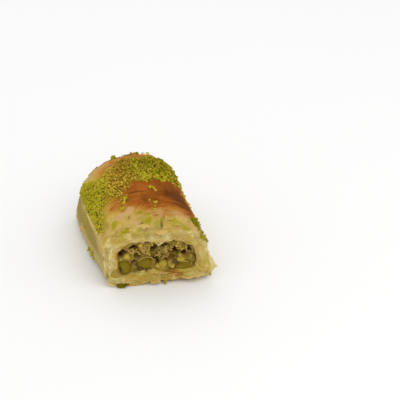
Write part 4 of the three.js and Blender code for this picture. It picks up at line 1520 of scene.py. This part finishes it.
@dataclass
class GroundPistachio:
    """Finely ground pistachio that syrup holds on the crown and down the left shoulder."""

    skin: FiloSkin
    fine: Grade = Grade("ground_pistachio_fine", 6500, (0.14, 0.36), 0)
    coarse: Grade = Grade("ground_pistachio_coarse", 760, (0.28, 0.56), 1)
    stray: float = 0.006
    thin_edge: float = 0.07
    tone: float = 0.86
    sunk: float = 0.45
    tone_spread: float = 0.17
    skinned_share: float = 0.012
    clumps: tuple[GrainClump, ...] = each(
        GrainClump, (0.42, 204.0, 16, 1.3), (0.34, 200.0, 12, 1.0, 0.6), (0.97, 100.0, 8, 1.1),
        (0.075, 41.0, 24, 0.6, 0.3, 0.95, 0.85), (0.045, 35.0, 9, 0.6, 0.1, 0.9, 0.75),
        (0.138, 29.0, 6, 0.8, 0.2, 0.86, 0.5), (0.028, 30.0, 4, 0.6, 0.1, 0.86, 0.5),
        (0.004, 28.0, 4, 0.6, 0.0, 0.86, 0.5), (0.004, 20.0, 4, 0.6, 0.0, 0.86, 0.5), (0.95, 60.0, 7, 1.0),
        (0.253, 108.3, 5, 0.45), (0.323, 78.0, 6, 0.5), (0.180, 79.3, 5, 0.3),
        (0.130, 83.3, 6, 0.28, 0.3, 0.6), (0.173, 118.3, 5, 0.6, 0.1), (0.86, 158.0, 9, 1.2),
        (0.930, 107.3, 14, 0.6, 1.0), (0.924, 91.0, 7, 0.4, 0.4, 0.2), (0.924, 82.0, 14, 0.7, 0.4, 0.15),
        (0.91, 77.0, 8, 0.6, 0.2, 0.2), (0.70, 8.0, 8, 1.2), (0.05, 285.0, 5, 0.6))
    cut_clumps: tuple[CutClump, ...] = each(
        CutClump, (-13.6, 0.9, 36, 0.6, 0.3, 0.9, 1.0), (-11.9, 1.4, 10, 0.7, 0.12, 0.1, 0.9),
        (1.7, 1.0, 4, 0.2, 0.45), (14.5, 18.7, 5, 0.3, 0.9, 0.8, 0.5))

    def build(self, material: bpy.types.Material) -> list[bpy.types.Object]:
        """Makes the fine and the coarse grains.

        Args:
            material: the ground pistachio's finish.

        Returns:
            The two objects.
        """
        rng = np.random.default_rng(SEED + 40)
        made = []
        for grade in (self.fine, self.coarse):
            piece = PieceMesh(grade.name)
            self.add_band(piece, grade, rng)
            if grade is self.coarse:
                self.add_clumps(piece, rng)
            made.append(piece.build(material, "ground_pistachio", is_smooth=False))
        return made

    def add_band(self, piece: PieceMesh, grade: Grade, rng: np.random.Generator) -> None:
        """Adds the grains of one fineness on the band and round it."""
        along, degrees = self.draw_places(rng, grade.count)
        cover = FORM.powder_cover(along, degrees)
        pile = 0.55 * cover * rng.random(grade.count)
        places = self.skin.surface(along, degrees)
        # Painted shade: darker where a grain sits low among its neighbours, in patches, and over the far top
        # of the band.
        patchy_shade = smoothstep(Noise(SEED + 42).layered(places, 2.2, 3), 0.0, 0.6)
        far_top = smoothstep(along, 0.45, 0.6) * fall(degrees, 96.0, 112.0)
        shade = (0.25 * (1.0 - pile / 0.4) + 0.36 * patchy_shade + 0.95 * far_top) * cover * rng.random(grade.count)
        tone = self.tone - 0.42 * hump(degrees, 106.0, 16.0)
        self.add_grains(piece, places, FORM.frame_at(along, degrees)[0], pile, tone, shade, grade, rng)

    def draw_places(self, rng: np.random.Generator, count: int) -> tuple[Array, Array]:
        """Draws places on the skin, thick on the band and thin elsewhere."""
        chosen = np.empty((2, 0))
        noise = Noise(SEED + 41)
        while chosen.shape[1] < count:
            along = rng.uniform(0.03, 0.98, 8 * count)
            degrees = rng.uniform(8.0, 178.0, 8 * count)
            points = FORM.skin(along, degrees)
            shifted_along = along + 0.03 * noise.layered(points + 20.0, 2.6, 3)
            cover = FORM.powder_cover(shifted_along, degrees + 4.0 * noise.layered(points + 40.0, 2.6, 3))
            patchy = 0.45 + 0.55 * smoothstep(noise.layered(points, 3.2, 2), -0.5, 0.3)
            crown_share = 0.45 + 0.55 * smoothstep(np.abs(degrees - 90.0), 20.0, 60.0)
            wet = 1.0 - 0.55 * hump(degrees, 108.0, 14.0)
            thinner = self.thin_edge * FORM.powder_cover(along + 0.07, degrees)
            thinner *= smoothstep(degrees, 96.0, 112.0)
            chance = held(cover * patchy * wet) + self.stray * crown_share + thinner
            keep = rng.random(8 * count) < chance
            chosen = np.concatenate([chosen, np.stack([along, degrees])[:, keep]], axis=1)
        return chosen[0, :count], chosen[1, :count]

    def add_clumps(self, piece: PieceMesh, rng: np.random.Generator) -> None:
        """Adds the small clumps that caught away from the band."""
        for clump in self.clumps:
            along = clump.along + rng.normal(0.0, clump.spread / FORM.length, clump.count)
            along = np.clip(along, 0.004, 0.996)
            degrees = clump.degrees + rng.normal(0.0, math.degrees(clump.spread / 16.0), clump.count)
            lift = clump.lift * rng.random(clump.count)
            self.add_grains(piece, self.skin.surface(along, degrees), FORM.frame_at(along, degrees)[0], lift,
                            clump.tone, clump.shade, self.coarse, rng)
        for clump in self.cut_clumps:
            x = clump.x + rng.normal(0.0, clump.spread_x, clump.count)
            z = np.maximum(clump.z + rng.normal(0.0, clump.spread_z, clump.count), 0.2)
            lift = 0.5 * rng.random(clump.count)
            self.add_grains(piece, FORM.placed(0.0, x, z), FORWARD, lift, clump.tone, clump.shade,
                            self.coarse, rng)

    def add_grains(self, piece: PieceMesh, places: Array, outward: Array, lift: Array, tone: Value,
                   shade: Value, grade: Grade, rng: np.random.Generator) -> None:
        """Adds grains of chopped nut.

        Args:
            piece: the piece to add them to.
            places: where each lies.
            outward: the way off the surface, for all or at each.
            lift: how far off it.
            tone: from olive at 0 through gold to green at 1.
            shade: how much painted shade darkens it, as in the hollow between its neighbours.
            grade: how large they are and how finely each is split.
            rng: the source of the draws.
        """
        count = len(places)
        points, faces = ball(grade.cuts)
        radius = lerp(*grade.sizes, rng.random(count) ** 1.6)
        centres = places + outward * (radius * self.sunk + lift)[:, None]
        centres[:, 2] = np.maximum(centres[:, 2], radius * 1.2)
        stretch = rng.uniform(0.6, 1.5, (count, 1, 3))
        lumps = points[None] * rng.uniform(0.78, 1.15, (count, len(points), 1)) * stretch
        lumps = np.einsum("nij,nkj->nki", random_turns(rng, count), lumps)
        world = centres[:, None] + lumps * radius[:, None, None]
        world[..., 2] = np.maximum(world[..., 2], 0.02)
        every = (faces[None] + (np.arange(count) * len(points))[:, None, None]).reshape(-1, 3)
        fields = {"tone": held(tone + rng.normal(0.0, self.tone_spread, count)),
                  "depth": held(np.broadcast_to(shade, (count,))),
                  "skin": (rng.random(count) < self.skinned_share).astype(float)}
        piece.add(world, [every], **{name: np.repeat(value, len(points)) for name, value in fields.items()})


# ---- The core ----


class NutKind(Enum):
    """Kinds of piece in the core: tone from olive to green, how often it wears its skin, its chopped sides,
    and how near its middle those of a large one may lie."""

    GREEN = (0.95, 0.15, 8, 0.5)
    YELLOW = (0.86, 0.0, 9, 0.45)
    GOLD = (0.20, 0.0, 1, 0.8)
    OLIVE = (0.05, 0.0, 2, 0.8)
    TAN = (0.5, 0.2, 9, 0.35)
    SKINNED = (0.3, 0.95, 6, 0.5)


GREEN, YELLOW, GOLD, OLIVE, TAN, SKINNED = NutKind


@dataclass(frozen=True)
class NutSpot:
    """A large piece of nut at the front cut: its place, its size across and up, its kind, how far it stands
    out, its turn clockwise in radians and its shade."""

    x: float
    z: float
    width: float
    height: float
    kind: NutKind
    proud: float = 0.0
    turn: float = 0.0
    shade: float = 0.05


@dataclass
class PistachioCore:
    """The core of chopped pistachio: meal pressed with syrup, larger pieces in it, and dark hollows."""

    spots: tuple[NutSpot, ...] = each(
        NutSpot, (-10.6, 11.7, 2.4, 2.4, YELLOW, 0.4), (-4.7, 8.2, 5.2, 4.6, OLIVE, 0.3),
        (-8.8, 9.5, 1.7, 1.6, SKINNED, 0.8), (-6.8, 7.4, 2.9, 1.3, SKINNED, 0.9, 0.75),
        (-4.7, 6.0, 0.8, 0.8, SKINNED, 0.6), (5.2, 8.6, 1.0, 3.4, SKINNED, 0.6, -0.4),
        (1.9, 7.4, 3.1, 3.1, YELLOW, 0.5, 0.4, 0.25), (4.1, 7.1, 2.2, 2.2, YELLOW, 0.4, 0.0, 0.1),
        (-0.7, 7.2, 1.7, 2.2, YELLOW, 0.2, 0.0, 0.2), (9.1, 6.4, 6.0, 3.2, OLIVE, 0.1, 0.0, 0.15),
        (7.3, 9.3, 2.9, 1.7, GREEN, 0.3, 0.15, 0.15), (-3.8, 16.2, 3.0, 2.1, TAN, 0.9),
        (7.1, 15.7, 3.2, 2.5, TAN, 1.2), (2.7, 14.7, 2.4, 2.0, TAN, 0.4), (-6.6, 14.1, 3.8, 2.6, TAN, 0.1),
        (-9.3, 14.4, 1.5, 1.3, TAN, 0.1), (0.5, 12.2, 3.8, 2.6, TAN, 0.0), (-4.2, 13.0, 2.2, 1.7, TAN, 0.0),
        (10.7, 9.9, 1.9, 2.6, OLIVE, 0.1), (-14.9, 6.4, 4.8, 5.2, GOLD, 0.95, 0.4, 0.0),
        # The thin skinned piece at (-13.3, 7.3) lies in the crack between the two lobes and is darkened
        # further with painted shade.
        (-11.5, 7.2, 5.2, 5.1, OLIVE, 0.5), (-13.3, 7.3, 0.5, 2.6, SKINNED, 1.15, -0.3, 0.6))
    hollows: tuple[Triple, ...] = (
        (-12.0, 13.8, 0.83), (-12.7, 12.4, 0.6), (-9.2, 15.6, 0.56), (-8.3, 15.8, 0.78), (-2.0, 15.1, 0.9),
        (1.2, 16.1, 0.75), (2.6, 16.2, 0.56), (5.9, 13.2, 1.05), (4.6, 12.7, 0.7), (8.8, 11.4, 0.68),
        (9.6, 14.4, 0.58), (10.6, 12.7, 0.45), (-7.1, 12.3, 0.56), (-1.0, 10.3, 0.8), (-0.4, 8.6, 0.5),
        (4.5, 10.3, 0.6), (2.5, 9.0, 0.45))
    slivers: tuple[tuple[Span, ...], ...] = (
        ((-7.2, 9.4), (-6.1, 10.8), (-4.1, 11.5), (-2.4, 10.9), (-1.6, 9.3), (-1.5, 7.6)),
        ((-0.9, 17.2), (-0.1, 15.5), (0.7, 13.7)),
        ((-10.7, 14.6), (-9.1, 13.4), (-8.8, 11.3), (-9.9, 9.7)),
        ((-8.4, 14.6), (-6.7, 13.6), (-5.7, 11.8)),
        ((9.5, 9.3), (10.5, 8.8), (11.0, 7.5), (10.3, 6.5)),
        ((7.1, 8.1), (8.8, 8.5), (10.5, 7.7)),
        ((1.4, 13.7), (2.7, 12.3), (3.0, 10.6)),
        ((-1.1, 6.3), (0.9, 5.9), (3.0, 6.1)),
        ((4.5, 16.3), (5.8, 16.8), (7.5, 16.9)),
        ((8.2, 14.7), (9.2, 13.8), (9.5, 12.1)))
    kinds: tuple[NutKind, ...] = (TAN, OLIVE, YELLOW, GREEN, SKINNED)
    weights: tuple[float, ...] = (0.38, 0.26, 0.18, 0.06, 0.12)
    recess: float = 1.5
    bulk: float = 1.2
    crumbs: int = 22
    hollow_spread: float = 1.3
    hollow_depth: float = 3.0
    gap: float = 0.25
    medium: int = 90
    medium_sizes: Span = (0.55, 1.0)
    small: int = 1600
    small_sizes: Span = (0.16, 0.38)
    sliver_thickness: float = 0.2
    body_sectors: int = 260
    body_rings: int = 76

    def build(self, material: bpy.types.Material, filo: bpy.types.Material) -> list[bpy.types.Object]:
        """Makes the core's body, its large pieces, its meal and the slivers of filo in it.

        Args:
            material: the chopped nut's finish.
            filo: the filo's finish.

        Returns:
            The objects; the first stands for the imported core.
        """
        rng = np.random.default_rng(SEED + 50)
        body, slivers = PieceMesh("core_body"), PieceMesh("core_slivers")
        chunks, meal = PieceMesh("core_chunks"), PieceMesh("core_meal")
        self.add_body(body)
        for spot in self.spots:
            if spot.kind is TAN:
                self.add_crumbs(meal, spot, rng)
            else:
                self.add_spot(chunks, spot, rng)
        for end in End:
            self.add_scatter(chunks, end, self.medium, self.medium_sizes, 2, rng)
            self.add_scatter(meal, end, self.small, self.small_sizes, 0, rng)
            for path in self.slivers:
                self.add_sliver(slivers, end, np.array(path))
        return [
            body.build(material, "pistachio_core", "pistachio_filling"),
            chunks.build(material, "pistachio_core"),
            meal.build(material, "pistachio_core", is_smooth=False),
            slivers.build(filo, "filo"),
        ]

    def add_sliver(self, piece: PieceMesh, end: End, path: Array) -> None:
        """Adds a thin strip of filo that stands on edge in the core, along a path on the cut."""
        place = np.linspace(0.0, len(path) - 1.0, 8 * len(path))
        x, z = (np.interp(place, np.arange(len(path)), path[:, axis]) for axis in (0, 1))
        for _ in range(3):
            x[1:-1], z[1:-1] = ((row[:-2] + row[1:-1] + row[2:]) / 3.0 for row in (x, z))
        x = x * end.inward
        way = unit(xyz(-np.gradient(z), 0.0, np.gradient(x)))
        fade = np.sqrt(held(np.sin(math.pi * place / place[-1])))
        out = np.linspace(0.0, 1.0, 4)[:, None]
        middles = np.repeat(FORM.placed(end.at, x, z)[None], len(out), axis=0)
        middles[..., 1] += end.inward * lerp(self.face_depth(end, x, z) + 0.9, 0.5 + 0.7 * (1.0 - fade), out)
        slab(piece, middles, way, self.sliver_thickness, bake=0.30, blush=0.1, sheer=0.0, glow=0.15,
             soak=0.45, dust=0.0, gloss=0.5)

    def hollowed(self, x: Value, z: Value) -> Array:
        """How much deeper the core lies at its hollows, in millimetres."""
        total = np.zeros(np.shape(x))
        for hollow_x, hollow_z, radius in self.hollows:
            gap = np.hypot(x - hollow_x, z - hollow_z)
            total = np.maximum(total, self.hollow_depth * hump(gap, 0.0, self.hollow_spread * radius))
        return total

    def is_covered(self, x: float, z: float) -> bool:
        """Whether a large piece of the front cut lies over a place."""
        return any(math.hypot((x - spot.x) / spot.width, (z - spot.z) / spot.height) < 0.52
                   for spot in self.spots if spot.kind is not TAN)

    def face_depth(self, end: End, x: Value, z: Value) -> Array:
        """How far behind the cut the core's face lies."""
        key = xyz(x, 9.0 * end.inward, z)
        noise = Noise(SEED + 51)
        bumpy = 0.34 * noise.layered(key, 2.4, 3) + 0.22 * noise.at(key, 0.9)
        recess = self.recess * (1.0 - 0.85 * smoothstep(z, 12.0, 17.5))
        return recess + bumpy + self.hollowed(x * end.inward, z)

    @staticmethod
    def on_face(end: End, angle: Value, share: Value, inset: float) -> tuple[Array, Array]:
        """The x and z of places on the core's face, a share of the way from its middle to its edge."""
        edge_x, edge_z = FORM.core_edge(end.at, angle, inset)
        return lerp(FORM.core_middle(end.at), edge_x, share), lerp(FORM.core_level, edge_z, share)

    def add_body(self, piece: PieceMesh) -> None:
        """Adds the core's body: a bumpy face at each cut, joined by its long wall."""
        angle = np.linspace(0.0, 2.0 * math.pi, self.body_sectors, endpoint=False)
        rows, hollow_shades = [], []
        for end, spread in ((End.FRONT, (0.02, 1.0)), (End.BACK, (1.0, 0.02))):
            x, z = self.on_face(end, angle, np.linspace(*spread, self.body_rings)[:, None], self.gap)
            points = FORM.placed(end.at, x, z)
            points[..., 1] += end.inward * self.face_depth(end, x, z)
            rows.append(points)
            hollow_shades.append(held(self.hollowed(x * end.inward, z) / 1.7))
        points, depth = np.concatenate(rows), np.concatenate(hollow_shades)
        noise = Noise(SEED + 52)
        first = np.arange(self.body_sectors)
        last = first + (len(points) - 1) * self.body_sectors
        faces = [grid_faces(*points.shape[:2], is_closed=True)[:, ::-1], first[None, ::-1], last[None, :]]
        # Painted shade: the body is a little darker all over and much darker in its hollows.
        piece.add(points, faces, tone=0.30 + 0.35 * noise.layered(points, 1.2, 3), depth=0.08 + 0.92 * depth,
                  skin=held(noise.at(points, 1.3) - 0.45))

    def add_spot(self, piece: PieceMesh, spot: NutSpot, rng: np.random.Generator) -> None:
        """Adds one large piece at its place on the front cut."""
        size = np.array([spot.width, 0.8 * min(spot.width, spot.height) + 0.6, spot.height]) / 2.0 * self.bulk
        centre = FORM.placed(0.0, spot.x, spot.z)
        centre[1] += size[1] - spot.proud + 0.35
        turn = Matrix.Rotation(spot.turn + rng.normal(0.0, 0.1), 3, "Y")
        self.add_lump(piece, centre, size, np.array(turn), spot.kind, 3, spot.shade, rng, spot.kind.value[3])

    def add_crumbs(self, piece: PieceMesh, spot: NutSpot, rng: np.random.Generator) -> None:
        """Adds a cluster of crumbs at its place on the front cut, off the hollows."""
        for _ in range(self.crumbs):
            offset = unit(rng.normal(size=2)) * math.sqrt(rng.random())
            x, z = np.array([spot.x, spot.z]) + offset * np.array([spot.width, spot.height]) * 0.6
            size = rng.uniform(0.24, 0.55) * rng.uniform(0.6, 1.4, 3)
            forward, shade = rng.uniform(0.4, 1.4) - spot.proud, 0.12 * rng.random()
            turn = random_turns(rng, 1)[0]
            if self.hollowed(x, z) < 0.9:
                centre = FORM.placed(0.0, x, z) + np.array([0.0, forward, 0.0])
                self.add_lump(piece, centre, size, turn, spot.kind, 1, shade, rng)

    def add_scatter(self, piece: PieceMesh, end: End, count: int, sizes: Span, cuts: int,
                    rng: np.random.Generator) -> None:
        """Scatters pieces over the core's face at a cut, off its hollows.

        Args:
            piece: the piece to add them to.
            end: which cut.
            count: how many.
            sizes: the smallest and largest radius.
            cuts: how finely each is split.
            rng: the source of the draws.
        """
        for _ in range(count):
            radius = lerp(*sizes, rng.random() ** 1.7)
            angle, share = rng.uniform(0.0, 2.0 * math.pi), math.sqrt(rng.random())
            x, z = self.on_face(end, angle, share, self.gap + 0.9 * radius)
            centre = FORM.placed(end.at, x, z)
            centre[1] += end.inward * (self.face_depth(end, x, z) + rng.uniform(-0.55, 0.25) * radius)
            kind = self.kinds[rng.choice(len(self.kinds), p=self.weights)]
            if end is End.FRONT and self.is_covered(x, z):
                continue
            size = radius * rng.uniform(0.7, 1.25, 3)
            # Painted shade: darker in the hollows, and a little at random.
            shade = 0.16 * rng.random() + 0.5 * float(self.hollowed(x * end.inward, z))
            self.add_lump(piece, centre, size, random_turns(rng, 1)[0], kind, cuts, shade, rng)

    @staticmethod
    def add_lump(piece: PieceMesh, centre: Array, size: Array, turn: Array, kind: NutKind, cuts: int,
                 shade: float, rng: np.random.Generator, least: float = 0.35) -> None:
        """Adds one chopped piece: a rounded kernel with flat chopped sides.

        Args:
            piece: the piece to add it to.
            centre: its middle.
            size: half its size along each of its axes.
            turn: its rotation.
            kind: its colour and skin.
            cuts: how finely it is split.
            shade: how dark its hollow makes it, 0 to 1.
            rng: the source of its shape.
            least: how near its middle a chopped side may lie, as a share of its size.
        """
        points, faces = ball(cuts)
        shape = points.copy()
        chopped = np.zeros(len(points))
        tone, skinned, sides, _ = kind.value
        for normal in unit(rng.normal(size=(sides, 3))):
            over = np.maximum(shape @ normal - rng.uniform(least, 0.86), 0.0)
            shape -= 0.92 * over[:, None] * normal
            chopped = np.maximum(chopped, (over > 0.03).astype(float))
        noise = Noise(int(rng.integers(1000)))
        shape += (0.10 * noise.layered(points, 0.6, 2))[:, None] * points
        tone = held(tone + rng.normal(0.0, 0.10) + 0.12 * noise.at(points, 0.7))
        peel = (1.0 - chopped) * float(rng.random() < skinned)
        skin = held(peel + (0.75 if kind is SKINNED else 0.0))
        piece.add(centre + (shape * size) @ turn.T, [faces], tone=tone, depth=min(shade, 1.0), skin=skin)


# ---- The studio ----


@dataclass(frozen=True)
class Lamp:
    """A soft square light: its name, its place in metres, its power in watts and its colour."""

    name: str
    place: Triple
    power: float
    colour: Colour


@dataclass
class Studio:
    """A plain pale ground, soft light, and the camera."""

    azimuth: float = -17.5
    elevation: float = 33.0
    focal: float = 1100.0
    frame: float = 400.0
    mm_per_pixel: float = 0.36
    target_x: float = 141.0
    target_y: float = 219.3
    aim_height: float = 11.0
    sensor: float = 36.0
    ground_size: float = 6.0
    world_strength: float = 0.88
    light_size: float = 0.6
    lit_height: float = 0.01
    lamps: tuple[Lamp, ...] = each(
        Lamp, ("key_light", (0.16, -0.36, 0.62), 1.5, (1.0, 0.99, 0.975)),
        ("back_light", (-0.1, 0.5, 0.55), 0.5, (1.0, 1.0, 1.0)))

    def build(self) -> None:
        """Makes the ground, the lights and the camera."""
        self.add_ground()
        self.add_world()
        for lamp in self.lamps:
            self.add_lamp(lamp)
        self.add_camera()
        bpy.context.scene.view_settings.view_transform = "Standard"

    def add_ground(self) -> None:
        """Makes the ground that the piece stands on."""
        mesh = bpy.data.meshes.new("ground")
        half = self.ground_size / 2.0
        corners = [(-half, -half, 0.0), (half, -half, 0.0), (half, half, 0.0), (-half, half, 0.0)]
        mesh.from_pydata(corners, [], [(0, 1, 2, 3)])
        mesh.materials.append(FloorFinish().make())
        ground = bpy.data.objects.new("ground", mesh)
        bpy.context.scene.collection.objects.link(ground)

    def add_world(self) -> None:
        """Sets the even light from all round."""
        world = bpy.data.worlds.new("soft_room")
        world.use_nodes = True
        background = world.node_tree.nodes["Background"]
        background.inputs["Color"].default_value = (1.0, 1.0, 1.0, 1.0)
        background.inputs["Strength"].default_value = self.world_strength
        bpy.context.scene.world = world

    def add_lamp(self, lamp: Lamp) -> None:
        """Adds a light that faces the piece."""
        light = bpy.data.lights.new(lamp.name, "AREA")
        light.shape = "SQUARE"
        light.size = self.light_size
        light.energy = lamp.power
        light.color = lamp.colour
        holder = bpy.data.objects.new(lamp.name, light)
        holder.location = lamp.place
        towards = Vector((0.0, 0.0, self.lit_height)) - Vector(lamp.place)
        holder.rotation_euler = towards.to_track_quat("-Z", "Y").to_euler()
        bpy.context.scene.collection.objects.link(holder)

    def add_camera(self) -> None:
        """Places the camera, whose view is square on."""
        azimuth, elevation = math.radians(self.azimuth), math.radians(self.elevation)
        level = math.cos(elevation)
        back = Vector((math.sin(azimuth) * level, -math.cos(azimuth) * level, math.sin(elevation)))
        right = Vector((math.cos(azimuth), math.sin(azimuth), 0.0))
        up = back.cross(right)
        middle = self.frame / 2.0
        aside = right * (self.target_x - middle) + up * (middle - self.target_y)
        aim = Vector((0.0, 0.0, self.aim_height)) + Vector(FORM.origin_shift)
        place = aim + back * self.focal * self.mm_per_pixel - aside * self.mm_per_pixel
        camera = bpy.data.cameras.new("camera")
        camera.sensor_width = self.sensor
        camera.lens = self.sensor * self.focal / self.frame
        camera.clip_start = 0.01
        holder = bpy.data.objects.new("camera", camera)
        turn = Matrix((right, up, back)).transposed().to_4x4()
        holder.matrix_world = Matrix.Translation(place * MM) @ turn
        bpy.context.scene.collection.objects.link(holder)
        bpy.context.scene.camera = holder


def main() -> None:
    """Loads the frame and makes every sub-assembly."""
    logging.basicConfig(level=logging.INFO, format="%(name)s %(message)s")
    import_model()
    filo = FiloFinish().make()
    skin = FiloSkin()
    skin.build(filo)
    walls = {end: CutFace(skin, end) for end in End}
    for wall in walls.values():
        wall.build(filo)
    SheetEdges(walls).build(filo)
    LooseFlakes(skin).build(filo)
    GroundPistachio(skin).build(GROUND_NUT.make())
    PistachioCore().build(CORE_NUT.make(), filo)
    Studio().build()


if __name__ == "__main__":
    main()
